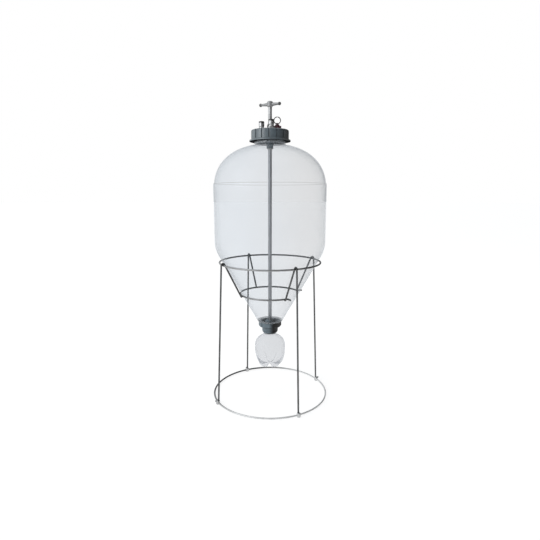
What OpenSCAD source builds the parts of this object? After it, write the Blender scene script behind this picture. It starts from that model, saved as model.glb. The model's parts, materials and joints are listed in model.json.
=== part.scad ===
/* [Stand] */
// Diameter of the stand's round wire
wire_d = 5.5; // [5:0.1:6]
// Outside diameter of the base ring
base_ring_d = 378; // [370:1:400]
// Height of the top ring's centre line above the floor
top_ring_z = 446; // [440:1:450]
// Centre-line radius of the top ring
top_ring_r = 161; // [160.5:0.1:162]
// Height of the cradle ring's centre line above the floor
cradle_z = 343; // [341:1:345]
// Centre-line radius of the cradle ring
cradle_r = 96.3; // [96:0.1:98]
// Direction of the first leg, counter-clockwise from +X
leg_angle = 27.5; // [20:0.5:35]

/* [Vessel] */
// Outside radius of the vessel's straight wall
vessel_r = 175; // [174:0.5:176]
// Wall thickness of the vessel
vessel_wall = 1.5; // [1.2:0.1:2]
// Half-angle of the cone
cone_half_angle = 29.5; // [29.3:0.1:29.6]
// Outside radius of the cone where it meets the bottom shoulder
cone_foot_r = 40.6; // [40:0.1:40.8]
// Radius of the blend from the cone to the straight wall
shoulder_blend_r = 100; // [80:1:110]
// Height of the moulding line where the dome starts
seam_z = 692; // [690:1:700]
// Outside radius of the top neck
neck_r = 46; // [45.8:0.1:46]

/* [Lid] */
// Radius of the lid collar over its grip pads
lid_r = 57.6; // [56:0.1:58]
// Number of grip grooves round the lid collar
lid_grooves = 16; // [12:1:20]
// Distance of the posts and the relief valve from the centre
port_r = 28; // [27.5:0.1:28.5]
// Outside radius of the ball-lock posts
post_r = 8.4; // [8.2:0.1:8.5]

/* [Valve rod] */
// Radius of the valve rod
rod_r = 5.85; // [5.5:0.05:6]
// Height of the top of the T-handle above the floor
overall_h = 935; // [930:1:940]
// Length of the T-handle from ball centre to ball centre
handle_span = 62; // [56:1:70]
// Direction of the T-handle, counter-clockwise from +X
handle_angle = -25; // [-45:1:45]

/* [Bottom cap and bottle] */
// Radius of the bottom cap over its lobes
cap_r = 37; // [36.5:0.1:38]
// Number of grip lobes round the bottom cap
cap_lobes = 6; // [5:1:8]
// Outside radius of the collection bottle
bottle_r = 50; // [49:0.5:51]
// Wall thickness of the collection bottle
bottle_wall = 1; // [0.8:0.1:1.2]
// Number of feet moulded into the bottle's base
bottle_feet = 5; // [4:1:6]

/* [Hidden] */
$fn = 96;

// General clearances, and how far a cutter runs past the solid it cuts
eps = 0.01;
running_gap = 0.05;
loose_gap = 0.3;
over = 1;

// Stand
wire_r = wire_d / 2;
base_ring_r = base_ring_d / 2 - wire_r;
base_ring_z = 6;
bend_r = wire_d + 0.1;
leg_foot = [185, 3];
leg_angles = [leg_angle, leg_angle + 90, leg_angle + 180, leg_angle + 270];
foot_r = 187;
foot_boss_r = 6.2;
foot_boss_h = 13;
screw_z = 10.9;
screw_r = 1.5;
screw_head = [2.9, 2.4];
outer_run = [leg_foot[0] - top_ring_r, top_ring_z - leg_foot[1]];
outer_tilt = atan(outer_run[0] / outer_run[1]) - asin(bend_r / norm(outer_run));
strut_run = [top_ring_r - cradle_r, top_ring_z - cradle_z];
strut_tilt = atan(strut_run[0] / strut_run[1]) - asin(2 * bend_r / norm(strut_run));
strut_tail = 1.5;
tail_lead = 4;
tail_bend_r = 6;
tail_bend_angle = 85;
tail_straight = 13;
leg_r_at_screw = leg_foot[0] - (screw_z - leg_foot[1]) * tan(outer_tilt);

// Vessel
shoulder_z = 250.4;
shoulder_blend = 4;
bottom_neck_r = 27.5;
bottom_neck_wall = 2;
bottom_rim_z = 237;
cone_foot_z = 251;
blend_z = cone_foot_z + (vessel_r - cone_foot_r) / tan(cone_half_angle)
    + shoulder_blend_r * tan(cone_half_angle / 2);
dome_r = 172.9;
dome_h = 134;
dome_z = 676;
dome_power = 2.27;
seam_step = 3;
neck_wall = 2;
neck_rim_z = 840;
neck_ring_r = 49;
neck_ring_z = [810.5, 813.5];

// Lid
seal_h = 2;
seal_lip = 1;
plate_z = neck_rim_z + seal_h;
plate_rim = [47.2, 3.7];
locating_rib = [2.4, 4];
lid_top_z = 849;
collar_top_z = 850.2;
lid_bottom_z = 817;
lid_bore_r = 47.6;
lid_mouth_r = 41;
lid_flange_r = 63;
lid_flange_z = 821.5;
lid_bevel = 2;
flange_slope = 1.5;
groove_foot_z = 824;
groove_w = 3.6;
groove_depth = 2.8;
groove_angle = 267.6;
bush_boss = [10.2, 796];
bush_r = 8.2;
bush_h = 8;
bush_lip = 1;
gland_r = [10, 8.8, 6.9];
gland_z = [849, 856, 864, 869];
gland_cavity_r = 8.05;
gland_cavity_z = [851.8, 859.8];
gland_seal_z = [853.6, 857.2];
gland_seal_r = 1.05;
gas_angle = 277.7;
liquid_angle = 157.7;
relief_angle = 37.7;
port_hole_r = 6.3;
port_shank_r = 6.2;
port_shank_z = 833;
port_nut = [8.6, 4.6];
base_seal_h = 1.2;

// Posts
post_hex_r = 9.6;
post_hex_z = [lid_top_z + base_seal_h, 857];
post_top_z = 878;
post_bore_r = 5.6;
post_mouth_r = 3.3;
post_lip_z = 873;
post_groove_z = [860, 863];
post_groove_r = 7.5;
post_groove_slope = 0.8;
post_bevel = 0.7;
poppet_stem_r = 2;
poppet_tail = 5;
poppet_recess = 0.6;
poppet_disc = [5.2, 2.2];
spring_wire_r = 0.45;
spring_coils = 5;
post_spring_r = 4.2;
post_ledge_z = 849;
post_way_r = 4;
post_seal_z = 875.2;
post_seal_r = 0.9;

// Relief valve
relief_hex_r = 10.4;
relief_hex_z = [lid_top_z + base_seal_h, 860];
relief_body_r = 7.6;
relief_top_z = 868;
relief_bore_r = 5.2;
relief_bore_top_z = 866.4;
relief_mouth_r = 3.4;
relief_stem_r = 2.9;
relief_pin_r = 2;
relief_nub_r = 1.2;
relief_stem_z = [863, 874.4];
relief_seat_z = 847.2;
relief_seal_h = 1.1;
relief_seal_r = 4.6;
relief_spring_r = 4.3;
relief_base_seal_r = 8.6;
relief_disc = [4.8, 2.2];
relief_cap = [6.2, 1.8];
relief_wing = [25.2, 5, 6];
pull_ring_r = 10.4;
pull_ring_wire_r = 1.05;
pull_ring_eye_r = 1.5;
pull_ring_eye_z = 871.8;
pull_ring_drop = 0.2;

// Valve rod and handle
rod_foot_z = 252.1;
rod_top_z = 921;
handle_z = 925;
hub_r = 8.85;
hub_z = [917.6, overall_h];
hub_crown = [[hub_r, 930.4], [8.6, 931.6], [7.9, 932.7], [6.7, 933.6], [4.8, 934.4], [2.5, 934.85]];
hub_bevel = [1.5, 2.5];
arm_r = [5, 3.25];
ball_r = 5;
ball_at = handle_span / 2;
handle_screw_r = 1.5;
handle_screw_z = 920;
handle_screw_sink = 1;

// Plug
plug_r = 16;
plug_z = [236.5, 252];
plug_flange_z = 241.2;
plug_nose_r = 12.2;
plug_bevel = 2;
plug_seal_at = [14.2, 241.55];
plug_seal_r = 0.9;
rod_end_r = 3.4;
rod_end_z = 240;
clip_z = 241.5;
clip_h = 1;
clip_r = 6.8;

// Bottom cap
cap_z = [233, 250];
cap_groove_depth = 3.4;
cap_groove_r = 4.6;
cap_chamfer = 3;
cap_bevel = 1;
cap_groove_angle = 225;
cap_bore_r = bottom_neck_r + loose_gap;
cap_floor_z = [230, 235.4];
cap_spigot = [26, 220.4];
cap_socket_r = 19.4;
seat_bore_r = 12.5;
seat_r = 17;
seat_z = [230.2, 240.6];
seat_bevel = 0.4;
gasket_r = [20, 26.8];
adapter_z = [208.4, 220];
adapter_bowl = [[16.5, 208.4], [20.5, 209.6], [23.3, 212.4], [25.2, 216]];
adapter_r = 25.8;
adapter_groove = [27, 4];
adapter_spigot_top_z = 229.8;
adapter_bore_r = 11;
adapter_socket_r = 14;
adapter_shoulder_z = 226.6;

// Bottle
bottle_neck = [13.5, 225];
bottle_ring = [16.2, 205.2, 207];
bottle_foot_z = 98;
foot_ball_r = 14.5;
foot_at_r = 25;
bottle_turn = -94;
base_dome = [0, 120, 16];
base_corner = [25, 118, 14];
flank_step = [5, 1.2];
flank_z = [122, 136, 141, 168];
crown = [20, 172, 30];
throat = [19, 203.8];

steel = "#8a9196";
bright_steel = "#b8bdc1";
dark_plastic = "#3d4348";
clear_pet = [0.86, 0.89, 0.92, 0.35];
black_rubber = "#1d1d1f";
dark_red = "#5a1f2c";
satin_steel = "#8c9199";
natural_plastic = "#c9c6bd";
white_plastic = "#d8d8d4";

function polar(r, a) = [r * cos(a), r * sin(a)];
function arc(c, r, a0, a1, steps = 8) =
    [for (i = [0:steps]) c + polar(r, a0 + (a1 - a0) * i / steps)];
function cone_r(z) = cone_foot_r + (z - cone_foot_z) * tan(cone_half_angle);
function dome_z_at(r, inset) =
    dome_z + (dome_h - inset) * pow(1 - pow(r / (dome_r - inset), dome_power), 1 / dome_power);
function dome_r_at(z, inset) =
    (dome_r - inset) * pow(1 - pow((z - dome_z) / (dome_h - inset), dome_power), 1 / dome_power);

// Points of the dome from its moulding line up to a given radius, closer together near the neck
function dome(z0, r1, inset, steps = 16) =
    let (r0 = dome_r_at(z0, inset))
    [for (i = [0:steps]) let (r = r1 + (r0 - r1) * cos(90 * i / steps)) [r, dome_z_at(r, inset)]];

// A whole ring of round wire in the XY plane, about the origin
module wire_ring(r, wire = wire_r) {
    rotate_extrude()
        translate([r, 0])
            circle(r = wire);
}

// Unit vector along the path at its point i, averaged over the two stretches that meet there
function path_dir(path, i) =
    let (
        before = path[max(i, 1)] - path[max(i, 1) - 1],
        after = path[min(i + 1, len(path) - 1)] - path[min(i + 1, len(path) - 1) - 1],
        sum = before / norm(before) + after / norm(after)
    )
    sum / norm(sum);

// Round wire bent in the XY plane along a path of 2D points
module bent_wire(path, wire = wire_r) {
    sides = 14;
    count = len(path);
    points = [for (i = [0:count - 1], k = [0:sides - 1])
        let (dir = path_dir(path, i), a = 360 * k / sides)
            [path[i][0] - dir[1] * wire * cos(a), path[i][1] + dir[0] * wire * cos(a), wire * sin(a)]];
    walls = [for (i = [0:count - 2], k = [0:sides - 1])
        let (j = (k + 1) % sides, b = i * sides)
            [b + k, b + k + sides, b + j + sides, b + j]];
    first = [for (k = [0:sides - 1]) k];
    last = [for (k = [0:sides - 1]) count * sides - 1 - k];
    polyhedron(points, concat(walls, [first], [last]));
}

// A tube standing on z0
module tube(r_out, r_in, z0, z1) {
    translate([0, 0, z0])
        difference() {
            cylinder(r = r_out, h = z1 - z0);
            translate([0, 0, -eps])
                cylinder(r = r_in, h = z1 - z0 + 2 * eps);
        }
}

// A solid of revolution from the points of its half-section
module turned(points) {
    rotate_extrude()
        polygon(points);
}

module hexagon_bar(across_corners_r, z0, z1) {
    translate([0, 0, z0])
        cylinder(r = across_corners_r, h = z1 - z0, $fn = 6);
}

module o_ring(r, wire, z) {
    translate([0, 0, z])
        rotate_extrude()
            translate([r, 0])
                circle(r = wire, $fn = 32);
}

module at_port(angle) {
    translate([port_r * cos(angle), port_r * sin(angle), 0])
        rotate([0, 0, angle + 90])
            children();
}

// A helical compression spring swept with a six-sided wire
module coil_spring(r, wire, z0, z1, coils) {
    per_turn = 14;
    sides = 6;
    rings = coils * per_turn;
    rise = z1 - z0 - 2 * wire;
    points = [for (i = [0:rings], k = [0:sides - 1])
        let (turn = 360 * i / per_turn, a = 360 * k / sides, s = r + wire * cos(a))
            [s * cos(turn), s * sin(turn), z0 + wire + rise * i / rings + wire * sin(a)]];
    walls = [for (i = [0:rings - 1], k = [0:sides - 1])
        let (j = (k + 1) % sides, b = i * sides)
            [b + k, b + k + sides, b + j + sides, b + j]];
    first = [for (k = [0:sides - 1]) k];
    last = [for (k = [0:sides - 1]) rings * sides + sides - 1 - k];
    polyhedron(points, concat(walls, [first], [last]));
}

// ---- Stand ----

module base_ring() {
    color(steel)
        difference() {
            union() {
                translate([0, 0, base_ring_z])
                    wire_ring(base_ring_r);
                for (a = leg_angles)
                    rotate([0, 0, a])
                        translate([foot_r, 0, 0])
                            cylinder(r = foot_boss_r, h = foot_boss_h);
            }
            for (a = leg_angles)
                rotate([0, 0, a]) {
                    translate([leg_foot[0], 0, leg_foot[1]])
                        rotate([0, -outer_tilt, 0])
                            cylinder(r = wire_r + running_gap, h = 2 * foot_boss_h);
                    translate([foot_r, 0, screw_z])
                        rotate([0, 90, 0])
                            cylinder(r = screw_r + running_gap, h = foot_boss_r + over);
                }
        }
}

module foot_screws() {
    shank_start = leg_r_at_screw + wire_r + running_gap;
    head_start = foot_r + foot_boss_r + running_gap;
    color(bright_steel)
        for (a = leg_angles)
            rotate([0, 0, a])
                translate([0, 0, screw_z])
                    rotate([0, 90, 0])
                        difference() {
                            union() {
                                translate([0, 0, shank_start])
                                    cylinder(r = screw_r, h = head_start - shank_start + eps);
                                translate([0, 0, head_start])
                                    cylinder(r = screw_head[0], h = screw_head[1]);
                            }
                            translate([0, 0, head_start + screw_head[1] / 2])
                                cylinder(r = screw_head[0] / 2, h = screw_head[1], $fn = 6);
                        }
}

module top_ring() {
    color(steel)
        translate([0, 0, top_ring_z])
            wire_ring(top_ring_r);
}

// Path of one out-turned end, leaving the cradle ring at angle 0 towards +Y
function tail_path() =
    let (
        bend_centre = [cradle_r + tail_bend_r, tail_lead],
        bend = arc(bend_centre, tail_bend_r, 180, 180 - tail_bend_angle, 8),
        tail_end = bend[len(bend) - 1] + polar(tail_straight, 90 - tail_bend_angle)
    )
    concat(bend, [tail_end]);

function turned_by(path, a) =
    [for (p = path) [p[0] * cos(a) - p[1] * sin(a), p[0] * sin(a) + p[1] * cos(a)]];
function flipped_y(path) = [for (p = path) [p[0], -p[1]]];
function reversed(v) = [for (i = [len(v) - 1:-1:0]) v[i]];

// An open ring: three quarters of a circle, with both ends turned out past the struts
module cradle_ring() {
    color(steel)
        translate([0, 0, cradle_z])
            bent_wire(concat(
                reversed(turned_by(flipped_y(tail_path()), leg_angles[0])),
                arc([0, 0], cradle_r, leg_angles[0], leg_angles[3], 60),
                turned_by(tail_path(), leg_angles[3])
            ));
}

// One bent wire: up outside the top ring, over it, and down inside to the cradle ring
module leg(angle) {
    strut_end = [cradle_r, cradle_z] + polar(bend_r, -strut_tilt)
        + polar(strut_tail, 270 - strut_tilt);
    hairpin = arc([top_ring_r, top_ring_z], bend_r, outer_tilt, 180 - strut_tilt, 14);
    color(steel)
        rotate([90, 0, angle])
            bent_wire(concat([leg_foot], hairpin, [strut_end]));
}

module leg_back_right() { leg(leg_angles[0]); }
module leg_back_left() { leg(leg_angles[1]); }
module leg_front_left() { leg(leg_angles[2]); }
module leg_front_right() { leg(leg_angles[3]); }

// ---- Vessel ----

// Half-outline from the bottom neck to the top neck, moved inwards by inset
function vessel_outline(inset, bottom_r, top_r) = concat(
    [[bottom_r, bottom_rim_z], [bottom_r, shoulder_z + inset]],
    arc([cone_r(shoulder_z + shoulder_blend) - shoulder_blend / cos(cone_half_angle),
        shoulder_z + shoulder_blend], shoulder_blend - inset, -90, -cone_half_angle, 4),
    arc([vessel_r - shoulder_blend_r, blend_z], shoulder_blend_r - inset, -cone_half_angle, 0, 10),
    [[vessel_r - inset, seam_z - seam_step]],
    dome(seam_z, top_r, inset),
    [[top_r, neck_rim_z]]
);

module vessel() {
    outer = vessel_outline(0, bottom_neck_r, neck_r);
    inner = vessel_outline(vessel_wall, bottom_neck_r - bottom_neck_wall, neck_r - neck_wall);
    color(clear_pet)
        union() {
            turned(concat(outer, reversed(inner)));
            tube(neck_ring_r, neck_r - eps, neck_ring_z[0], neck_ring_z[1]);
        }
}

// ---- Lid ----

module lid_seal() {
    color(black_rubber)
        tube(neck_r + seal_lip, neck_r - neck_wall, neck_rim_z + running_gap, plate_z);
}

module lid_plate() {
    locating_r = neck_r - neck_wall - loose_gap;
    color(dark_plastic)
        difference() {
            union() {
                translate([0, 0, plate_z])
                    cylinder(r = plate_rim[0], h = plate_rim[1]);
                translate([0, 0, plate_z])
                    cylinder(r = lid_mouth_r - loose_gap, h = lid_top_z - plate_z);
                tube(locating_r, locating_r - locating_rib[0],
                    plate_z - locating_rib[1], plate_z + eps);
                translate([0, 0, bush_boss[1]])
                    cylinder(r = bush_boss[0], h = plate_z - bush_boss[1] + eps);
            }
            translate([0, 0, bush_boss[1] - eps])
                cylinder(r = rod_r + loose_gap, h = lid_top_z - bush_boss[1] + 2 * eps);
            translate([0, 0, bush_boss[1] - eps])
                cylinder(r = bush_r + running_gap, h = bush_h + eps);
            for (a = [gas_angle, liquid_angle, relief_angle])
                at_port(a)
                    translate([0, 0, plate_z - eps])
                        cylinder(r = port_hole_r, h = lid_top_z - plate_z + 2 * eps);
        }
}

module lid_collar() {
    color(dark_plastic)
        difference() {
            turned([
                [lid_bore_r, lid_bottom_z], [lid_flange_r, lid_bottom_z],
                [lid_flange_r, lid_flange_z], [lid_r, lid_flange_z + flange_slope],
                [lid_r, collar_top_z - lid_bevel], [lid_r - lid_bevel, collar_top_z],
                [lid_mouth_r, collar_top_z], [lid_mouth_r, plate_z + plate_rim[1] + loose_gap],
                [lid_bore_r, plate_z + plate_rim[1] + loose_gap]
            ]);
            for (i = [0:lid_grooves - 1])
                rotate([0, 0, groove_angle + 360 * i / lid_grooves])
                    translate([lid_r - groove_depth, -groove_w / 2, groove_foot_z])
                        cube([groove_depth + over, groove_w, collar_top_z - groove_foot_z + over]);
        }
}

module rod_bush() {
    color(natural_plastic)
        tube(bush_r, rod_r + running_gap, bush_boss[1] - bush_lip, bush_boss[1] + bush_h);
}

module gland_nut() {
    color(black_rubber)
        difference() {
            union() {
                hexagon_bar(gland_r[0], gland_z[0], gland_z[1]);
                translate([0, 0, gland_z[1] - eps])
                    cylinder(r = gland_r[1], h = gland_z[2] - gland_z[1] + eps);
                translate([0, 0, gland_z[2] - eps])
                    cylinder(r1 = gland_r[1], r2 = gland_r[2], h = gland_z[3] - gland_z[2] + eps);
            }
            translate([0, 0, gland_z[0] - eps])
                cylinder(r = rod_r + 2 * running_gap, h = gland_z[3] - gland_z[0] + 2 * eps);
            translate([0, 0, gland_cavity_z[0]])
                cylinder(r = gland_cavity_r, h = gland_cavity_z[1] - gland_cavity_z[0]);
        }
}

module gland_seals() {
    color(black_rubber)
        for (z = gland_seal_z)
            o_ring(rod_r + running_gap + gland_seal_r, gland_seal_r, z);
}

// ---- Ball-lock posts ----

module post_body() {
    difference() {
        union() {
            translate([0, 0, port_shank_z])
                cylinder(r = port_shank_r, h = post_hex_z[0] - port_shank_z + eps);
            hexagon_bar(post_hex_r, post_hex_z[0], post_hex_z[1]);
            turned([
                [0, post_hex_z[1] - eps], [post_r, post_hex_z[1] - eps], [post_r, post_groove_z[0]],
                [post_groove_r, post_groove_z[0] + post_groove_slope],
                [post_groove_r, post_groove_z[1] - post_groove_slope],
                [post_r, post_groove_z[1]], [post_r, post_top_z - post_bevel],
                [post_r - post_bevel, post_top_z], [0, post_top_z]
            ]);
        }
        translate([0, 0, port_shank_z - eps])
            cylinder(r = post_way_r, h = post_ledge_z - port_shank_z + over);
        translate([0, 0, post_ledge_z])
            cylinder(r = post_bore_r, h = post_lip_z - post_ledge_z);
        translate([0, 0, post_lip_z - eps])
            cylinder(r = post_mouth_r, h = post_top_z - post_lip_z + over);
        o_ring(post_mouth_r, post_seal_r + running_gap, post_seal_z);
    }
}

module poppet() {
    disc_top = post_lip_z - running_gap;
    translate([0, 0, disc_top - poppet_disc[1]])
        cylinder(r = poppet_disc[0], h = poppet_disc[1]);
    translate([0, 0, disc_top - poppet_disc[1] - poppet_tail])
        cylinder(r = poppet_stem_r,
            h = poppet_tail + poppet_disc[1] + post_top_z - poppet_recess - disc_top);
}

module poppet_spring() {
    coil_spring(post_spring_r, spring_wire_r, post_ledge_z + running_gap,
        post_lip_z - poppet_disc[1] - 2 * running_gap, spring_coils);
}

module gas_post() { color(bright_steel) at_port(gas_angle) post_body(); }
module gas_poppet() { color(bright_steel) at_port(gas_angle) poppet(); }
module gas_poppet_spring() { color(steel) at_port(gas_angle) poppet_spring(); }
module liquid_post() { color(bright_steel) at_port(liquid_angle) post_body(); }
module liquid_poppet() { color(bright_steel) at_port(liquid_angle) poppet(); }
module liquid_poppet_spring() { color(steel) at_port(liquid_angle) poppet_spring(); }

module post_base_seals() {
    color(black_rubber)
        for (a = [gas_angle, liquid_angle])
            at_port(a)
                tube(post_r, port_shank_r + running_gap, lid_top_z + eps, lid_top_z + base_seal_h);
}

module post_top_seals() {
    color(black_rubber)
        for (a = [gas_angle, liquid_angle])
            at_port(a)
                o_ring(post_mouth_r, post_seal_r, post_seal_z);
}

module port_nuts() {
    color(steel)
        for (a = [gas_angle, liquid_angle, relief_angle])
            at_port(a)
                difference() {
                    hexagon_bar(port_nut[0], plate_z - port_nut[1], plate_z - running_gap);
                    translate([0, 0, plate_z - port_nut[1] - eps])
                        cylinder(r = port_shank_r + running_gap, h = port_nut[1] + 2 * eps);
                }
}

// ---- Pressure relief valve ----

module at_relief() {
    translate([port_r * cos(relief_angle), port_r * sin(relief_angle), 0])
        children();
}

module relief_body() {
    color(dark_red)
        at_relief()
            difference() {
                union() {
                    translate([0, 0, port_shank_z])
                        cylinder(r = port_shank_r, h = relief_hex_z[0] - port_shank_z + eps);
                    hexagon_bar(relief_hex_r, relief_hex_z[0], relief_hex_z[1]);
                    translate([0, 0, relief_hex_z[1] - eps])
                        cylinder(r = relief_body_r, h = relief_top_z - relief_hex_z[1] + eps);
                    translate([-relief_wing[0] / 2, -relief_wing[1] / 2, relief_hex_z[1] - eps])
                        cube([relief_wing[0], relief_wing[1], relief_wing[2]]);
                }
                translate([0, 0, port_shank_z - eps])
                    cylinder(r = relief_mouth_r, h = relief_seat_z - port_shank_z + 2 * eps);
                translate([0, 0, relief_seat_z])
                    cylinder(r = relief_bore_r, h = relief_bore_top_z - relief_seat_z);
                translate([0, 0, relief_bore_top_z - eps])
                    cylinder(r = relief_mouth_r, h = relief_top_z - relief_bore_top_z + over);
            }
}

// The disc rests on the seat and the ring pulls it up against the spring
module relief_stem() {
    disc_z = relief_seat_z + relief_seal_h;
    disc_top = disc_z + relief_disc[1];
    color(dark_red)
        at_relief()
            difference() {
                union() {
                    translate([0, 0, relief_seat_z + running_gap])
                        cylinder(r = relief_nub_r, h = relief_seal_h);
                    translate([0, 0, disc_z])
                        cylinder(r = relief_disc[0], h = relief_disc[1]);
                    translate([0, 0, disc_top - eps])
                        cylinder(r = relief_pin_r, h = relief_stem_z[0] - disc_top + 2 * eps);
                    translate([0, 0, relief_stem_z[0]])
                        cylinder(r = relief_stem_r, h = relief_stem_z[1] - relief_stem_z[0]);
                    translate([0, 0, relief_top_z + loose_gap])
                        cylinder(r = relief_cap[0], h = relief_cap[1]);
                }
                translate([0, 0, pull_ring_eye_z])
                    rotate([0, 90, 0])
                        cylinder(r = pull_ring_eye_r, h = 4 * relief_stem_r, center = true);
            }
}

module relief_spring() {
    color(steel)
        at_relief()
            coil_spring(relief_spring_r, spring_wire_r,
                relief_seat_z + relief_seal_h + relief_disc[1] + running_gap,
                relief_bore_top_z - running_gap, spring_coils);
}

module relief_seal() {
    color(black_rubber)
        at_relief()
            tube(relief_seal_r, relief_nub_r, relief_seat_z + running_gap,
                relief_seat_z + relief_seal_h);
}

module relief_base_seal() {
    color(black_rubber)
        at_relief()
            tube(relief_base_seal_r, port_shank_r + running_gap,
                lid_top_z + eps, lid_top_z + base_seal_h);
}

// The split ring stands upright, threaded through the stem's cross hole
module relief_ring() {
    color(bright_steel)
        at_relief()
            translate([0, 0, pull_ring_eye_z + pull_ring_r - pull_ring_drop])
                rotate([90, 0, 0])
                    wire_ring(pull_ring_r, pull_ring_wire_r);
}

// ---- Valve rod and handle ----

module valve_rod() {
    color(satin_steel)
        union() {
            translate([0, 0, rod_foot_z])
                cylinder(r = rod_r, h = rod_top_z - rod_foot_z);
            translate([0, 0, rod_end_z])
                cylinder(r = rod_end_r, h = rod_foot_z - rod_end_z + eps);
        }
}

module at_handle() {
    translate([0, 0, handle_z])
        rotate([0, 0, handle_angle])
            children();
}

module handle_hub() {
    side = [[hub_r - hub_bevel[0], hub_z[0]], [hub_r, hub_z[0] + hub_bevel[1]]];
    color(bright_steel)
        difference() {
            rotate_extrude()
                polygon(concat([[0, hub_z[0]]], side, hub_crown, [[0, hub_z[1]]]));
            translate([0, 0, hub_z[0] - eps])
                cylinder(r = rod_r + running_gap, h = rod_top_z - hub_z[0] + 2 * running_gap);
            at_handle()
                rotate([0, 90, 0])
                    cylinder(r = arm_r[0] + running_gap, h = 4 * hub_r, center = true);
            rotate([0, 0, handle_angle + 90])
                translate([0, 0, handle_screw_z])
                    rotate([0, 90, 0])
                        cylinder(r = handle_screw_r + running_gap, h = hub_r + over);
        }
}

module handle_bar() {
    color(bright_steel)
        at_handle()
            difference() {
                union() {
                    rotate([0, 90, 0])
                        cylinder(r = arm_r[0], h = 2 * hub_r, center = true);
                    for (side = [0, 180])
                        rotate([0, 0, side]) {
                            translate([hub_r - eps, 0, 0])
                                rotate([0, 90, 0])
                                    cylinder(r1 = arm_r[0], r2 = arm_r[1], h = ball_at - hub_r);
                            translate([ball_at, 0, 0])
                                sphere(r = ball_r);
                        }
                }
                translate([0, 0, rod_top_z - handle_z + running_gap - 2 * arm_r[0]])
                    cylinder(r = rod_r + running_gap, h = 2 * arm_r[0]);
            }
}

module handle_screw() {
    color(steel)
        rotate([0, 0, handle_angle + 90])
            translate([rod_r + running_gap, 0, handle_screw_z])
                rotate([0, 90, 0])
                    cylinder(r = handle_screw_r, h = hub_r - rod_r - handle_screw_sink);
}

// ---- Valve plug ----

module valve_plug() {
    color(dark_plastic)
        difference() {
            turned([
                [0, plug_z[0]], [plug_nose_r, plug_z[0]], [plug_nose_r, plug_flange_z],
                [plug_r, plug_flange_z], [plug_r, plug_z[1] - plug_bevel],
                [plug_r - plug_bevel, plug_z[1]], [0, plug_z[1]]
            ]);
            translate([0, 0, plug_z[0] - eps])
                cylinder(r = rod_end_r + running_gap, h = plug_z[1] - plug_z[0] + over);
            translate([0, 0, plug_z[0] - eps])
                cylinder(r = clip_r + loose_gap, h = clip_z + clip_h + loose_gap - plug_z[0]);
            o_ring(plug_seal_at[0], plug_seal_r + running_gap, plug_seal_at[1]);
        }
}

module plug_seal() {
    color(black_rubber)
        o_ring(plug_seal_at[0], plug_seal_r, plug_seal_at[1]);
}

// Retaining clip that snaps on the rod's end below the plug's shoulder
module plug_clip() {
    color(steel)
        tube(clip_r, rod_end_r, clip_z, clip_z + clip_h);
}

// ---- Bottom cap ----

module bottom_gasket() {
    color(black_rubber)
        tube(gasket_r[1], gasket_r[0], cap_floor_z[1] + running_gap, bottom_rim_z - running_gap);
}

module bottom_cap() {
    color(dark_plastic)
        difference() {
            union() {
                turned([
                    [0, cap_z[0]], [cap_r - cap_chamfer, cap_z[0]], [cap_r, cap_z[0] + cap_chamfer],
                    [cap_r, cap_z[1] - cap_bevel], [cap_r - cap_bevel, cap_z[1]], [0, cap_z[1]]
                ]);
                translate([0, 0, cap_spigot[1]])
                    cylinder(r = cap_spigot[0], h = cap_z[0] - cap_spigot[1] + eps);
            }
            for (i = [0:cap_lobes - 1])
                rotate([0, 0, cap_groove_angle + 360 * i / cap_lobes])
                    translate([cap_r + cap_groove_r - cap_groove_depth, 0, cap_spigot[1] - eps])
                        cylinder(r = cap_groove_r, h = cap_z[1] - cap_spigot[1] + over);
            translate([0, 0, cap_floor_z[1]])
                cylinder(r = cap_bore_r, h = cap_z[1]);
            translate([0, 0, cap_spigot[1] - eps])
                cylinder(r = cap_socket_r, h = cap_floor_z[0] - cap_spigot[1] + eps);
            translate([0, 0, cap_floor_z[0] - eps])
                cylinder(r = seat_r + running_gap, h = cap_floor_z[1] - cap_floor_z[0] + 2 * eps);
        }
}

// Seat insert pressed into the cap's floor; the plug's seal closes its bore
module valve_seat() {
    color(white_plastic)
        turned([
            [seat_bore_r, seat_z[0]], [seat_r, seat_z[0]], [seat_r, seat_z[1]],
            [seat_bore_r + seat_bevel, seat_z[1]], [seat_bore_r, seat_z[1] - seat_bevel]
        ]);
}

module bottle_adapter() {
    color(dark_plastic)
        difference() {
            union() {
                difference() {
                    turned(concat([[0, adapter_z[0]]], adapter_bowl,
                        [[adapter_r, adapter_z[1]], [0, adapter_z[1]]]));
                    for (i = [0:cap_lobes - 1])
                        rotate([0, 0, cap_groove_angle + 360 * i / cap_lobes])
                            translate([adapter_groove[0], 0, adapter_z[0] - eps])
                                cylinder(r = adapter_groove[1], h = adapter_z[1] - adapter_z[0] + over);
                }
                translate([0, 0, adapter_z[1] - eps])
                    cylinder(r = cap_socket_r - running_gap, h = adapter_spigot_top_z - adapter_z[1]);
            }
            translate([0, 0, adapter_z[0] - eps])
                cylinder(r = adapter_bore_r, h = adapter_spigot_top_z - adapter_z[0] + over);
            translate([0, 0, adapter_z[0] - eps])
                cylinder(r = adapter_socket_r, h = adapter_shoulder_z - adapter_z[0]);
        }
}

// ---- Collection bottle ----

module bottle_gasket() {
    color(black_rubber)
        tube(bottle_neck[0], adapter_bore_r,
            bottle_neck[1] + running_gap, adapter_shoulder_z - 2 * running_gap);
}

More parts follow.
